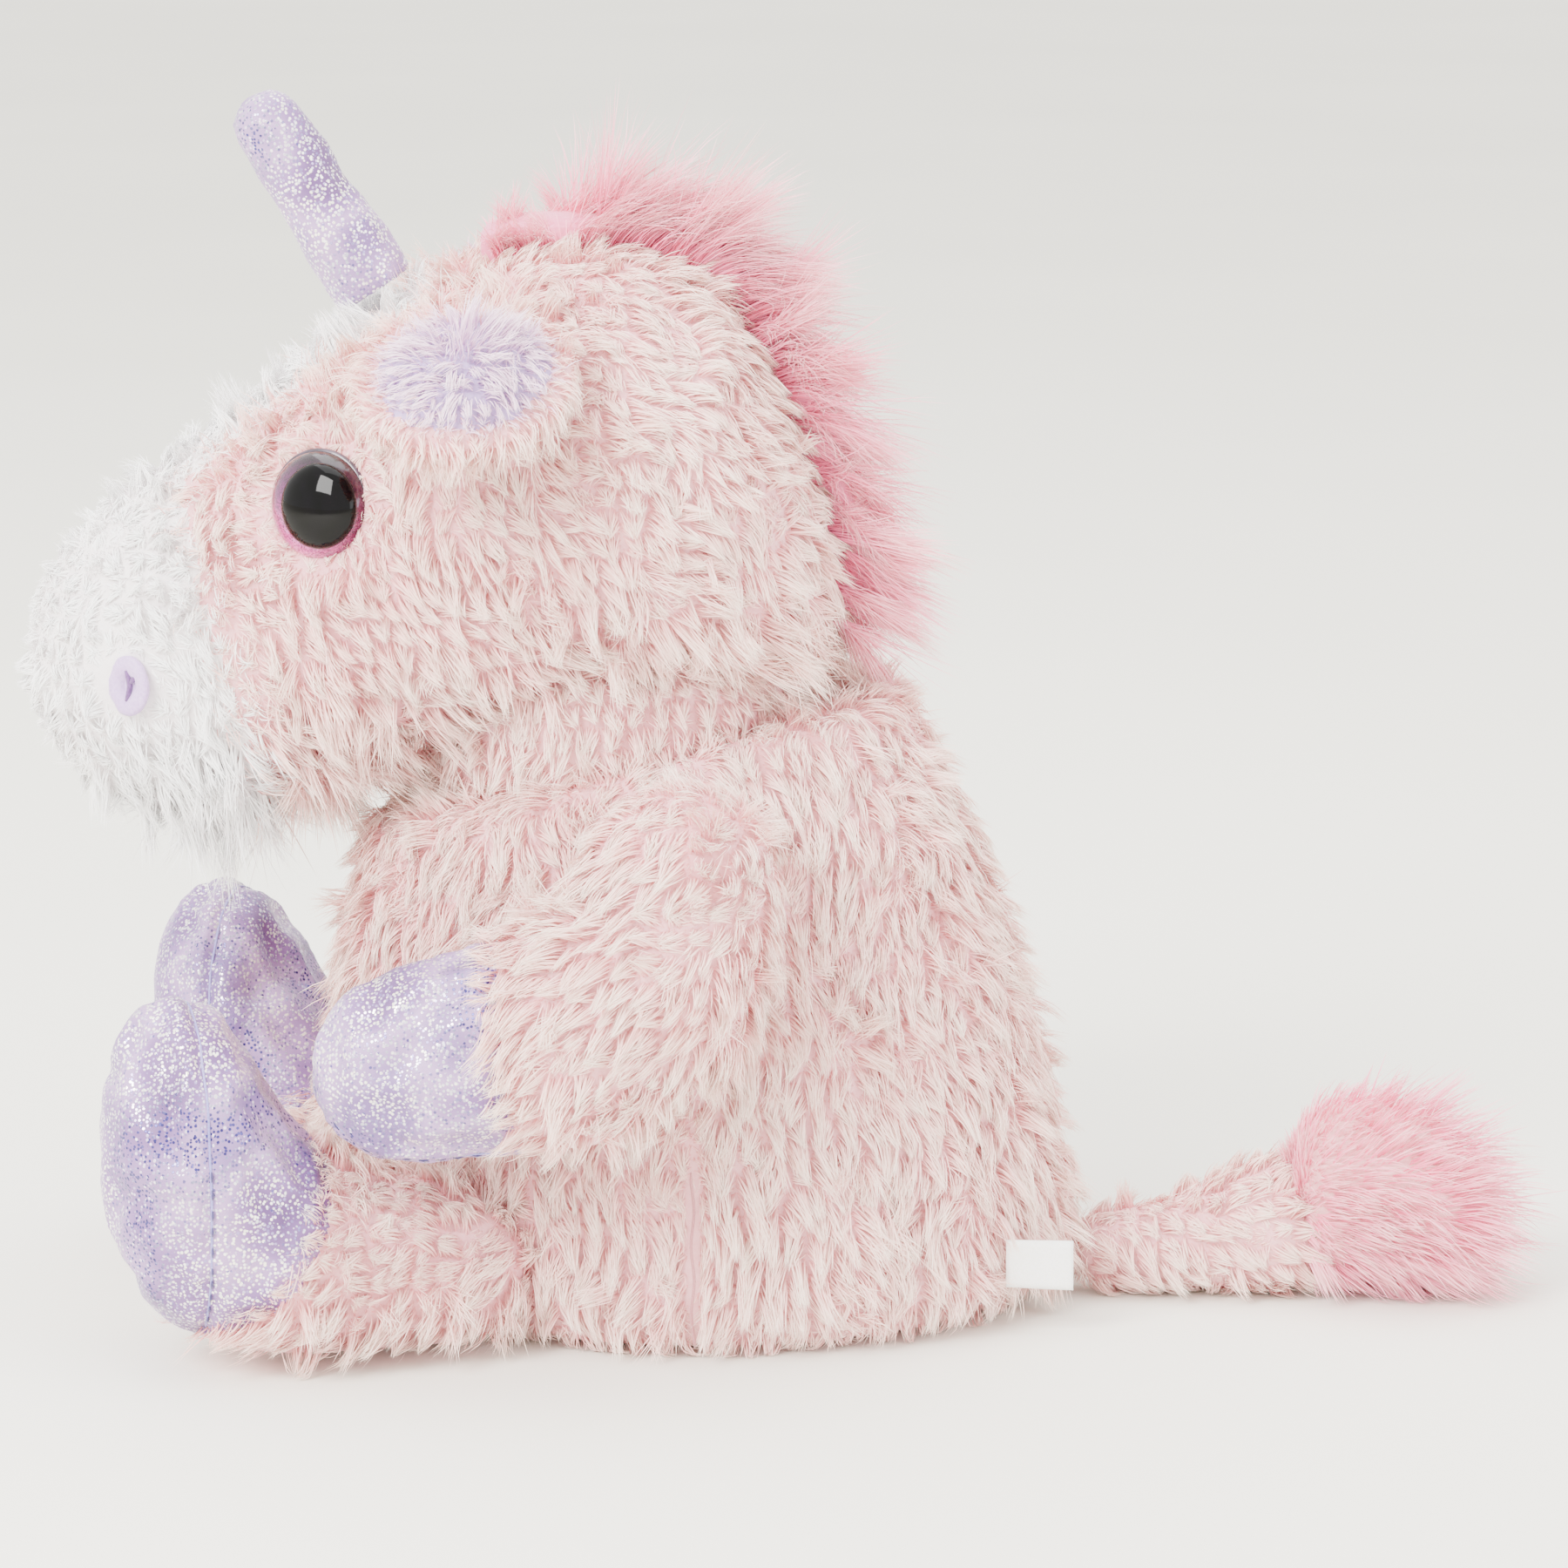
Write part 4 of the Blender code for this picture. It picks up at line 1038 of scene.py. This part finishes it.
def make_nostril(side):
    """A satin patch drawn in at its middle by a stitch; the dark threads along its creases are painted shade
    of the pinch.
    """
    way = mirrored(NOSTRIL_WAY, side)
    aside = unit(np.cross([0, 0, 1.0], way))
    centre = NOSTRILS[side] + aside * (1.2 * MM if side == "left" else -1.2 * MM)
    rows = [(6.6, -0.9), (6.7, 0.1), (5.8, 0.7), (4.4, 0.75), (3.0, 0.2), (1.9, -0.6), (1.2, -1.2)]
    ob = turned("nostril_patch_" + side, centre, way, [(r * MM, h * MM) for r, h in rows], NOSE, 36)
    co = centre + (points_of(ob.data) - centre) * (1, 0.8, 1)
    move_points(ob.data, co + way * (0.25 * MM * wobble(co, 4 * MM, 90))[:, None])
    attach(ob, "head")
    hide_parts("nostril_" + side)

    def on_patch(x, z):
        lift = 0.5 - 0.7 * (1 - (z / 4) ** 2)
        return centre + (aside * x + way * lift + np.array([0, 0, z])) * MM

    # Dark threads along the pinch's creases: painted shade in the dimple.
    creases = (((-0.5, -3.4), (0, -1.7), (0.2, 0), (0, 1.8), (-0.4, 3.4)),
               ((0.2, 0.4), (1.2, 1.4), (2.2, 2.6)))
    pinches = [[on_patch(x, z) for x, z in crease] for crease in creases]
    threads("nostril_pinch_" + side, pinches, 0.6 * MM, NOSTRIL_PINCH_SHADE, "head")


def make_label():
    """The care label: a blank tape that waves a little."""
    low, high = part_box("care_label")
    rows, cols, thick = 12, 8, 0.7 * MM
    verts, faces = [], []
    for layer in (0, 1):
        for i in range(rows + 1):
            for j in range(cols + 1):
                u, v = i / rows, j / cols
                wave = 0.9 * MM * math.sin(u * 2.6 + v)
                verts.append(((low.x + high.x) / 2 + wave + (layer - 0.5) * thick,
                              low.y + u * (high.y - low.y),
                              low.z + v * (high.z - low.z) - 0.6 * MM * u * u))
    step, sheet = cols + 1, (rows + 1) * (cols + 1)
    for layer in (0, 1):
        for i in range(rows):
            for j in range(cols):
                a = layer * sheet + i * step + j
                f = (a, a + 1, a + step + 1, a + step)
                faces.append(f if layer else f[::-1])
    ring = list(range(cols)) + [i * step + cols for i in range(rows)]
    ring += [rows * step + j for j in range(cols, 0, -1)] + [i * step for i in range(rows, 0, -1)]
    for a, b in zip(ring, ring[1:] + ring[:1]):
        faces.append((a, b, b + sheet, a + sheet))
    ob = mesh_object("label_tape", verts, faces, SATIN)
    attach(ob, "torso")
    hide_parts("care_label")


# ---------------------------------------------------------------- stuffing and washers


def make_fill(name, material, inset):
    """The stuffing inside a skin, drawn in a little so that the skin closes over it."""
    ob = skin_of(name.replace("stuffing", "fill") + "_soft", [name], 3 * MM, smooth=6)
    co = points_of(ob.data)
    move_points(ob.data, co + normals_of(ob.data) * (-inset + 0.5 * MM * wobble(co, 14 * MM, 91))[:, None])
    ob.data.materials.append(material)
    ob.data.shade_smooth()
    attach(ob, BODY_OF[name])
    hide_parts(name)


def finish_washer(side):
    """The eye's locking washer stays as its CAD node."""
    me = NODES["eye_washer_" + side].data
    me.materials.clear()
    me.materials.append(WASHER)


# ---------------------------------------------------------------- build

make_torso()
make_head()
make_neck()
make_horn()
for side in SIDES:
    make_ear(side)
    make_limb("arm", side)
    make_limb("leg", side)
    make_eye(side)
    make_nostril(side)
    finish_washer(side)
make_tail()
make_tuft()
make_label()
for name in NODES:
    if "stuffing" in name:
        make_fill(name, FIBRE, 2.2 * MM)
make_fill("weight_bag", BAG, 1.5 * MM)

# ---------------------------------------------------------------- stage


def make_floor(radius=16):
    """A plain pale disc that reaches past the picture's edges."""
    paper, nt, shader = new_material("studio_paper", {"Roughness": 0.9, "Specular IOR Level": 0.1})
    nt.links.new(ramp(nt, noise(nt, 3), [(0.3, "F2F0E6"), (0.7, "F6F4EA")]), shader.inputs["Base Color"])
    verts = [(radius * math.cos(a), radius * math.sin(a), 0)
             for a in np.linspace(0, math.tau, 64, endpoint=False)]
    return mesh_object("studio_floor", verts, [range(64)], paper)


def area_light(name, at, aim, size, power, tint=(1, 1, 1)):
    light = bpy.data.lights.new(name, "AREA")
    light.shape, light.size, light.size_y = "RECTANGLE", size[0], size[1]
    light.energy, light.color = power, tint
    ob = link(name, light)
    ob.location = at
    ob.rotation_euler = (Vector(aim) - Vector(at)).to_track_quat("-Z", "Y").to_euler()


make_floor()
MIDDLE = (0, 0.01, 0.12)
area_light("key_softbox", (1.1, -0.9, 1.15), MIDDLE, (0.7, 0.9), 72, (1, 0.985, 0.96))
area_light("fill_softbox", (1.0, 1.3, 0.7), MIDDLE, (1.2, 1.2), 20, (0.96, 0.98, 1))
area_light("top_softbox", (-0.2, 0, 1.5), MIDDLE, (1.4, 1.4), 26)
world = bpy.data.worlds.new("studio")
bpy.context.scene.world = world
world.use_nodes = True
background = world.node_tree.nodes["Background"]
background.inputs["Color"].default_value = (1.0, 0.985, 0.955, 1)
background.inputs["Strength"].default_value = 2.55

# The camera looks at the toy's left side from a little above.
ELEVATION, DISTANCE = math.radians(11), 1.4
VIEW_WIDTH, SENSOR = 0.36, 36
right = Vector((0, 1, 0))
towards = Vector((math.cos(ELEVATION), 0, math.sin(ELEVATION)))
upwards = Vector((-math.sin(ELEVATION), 0, math.cos(ELEVATION)))
camera = bpy.data.cameras.new("camera")
camera.sensor_width, camera.lens = SENSOR, SENSOR * DISTANCE / VIEW_WIDTH
camera.clip_end = 20
camera_object = link("camera", camera)
camera_object.location = right * 0.020 + upwards * 0.1162 + towards * DISTANCE
camera_object.rotation_euler = towards.to_track_quat("Z", "Y").to_euler()
bpy.context.scene.camera = camera_object
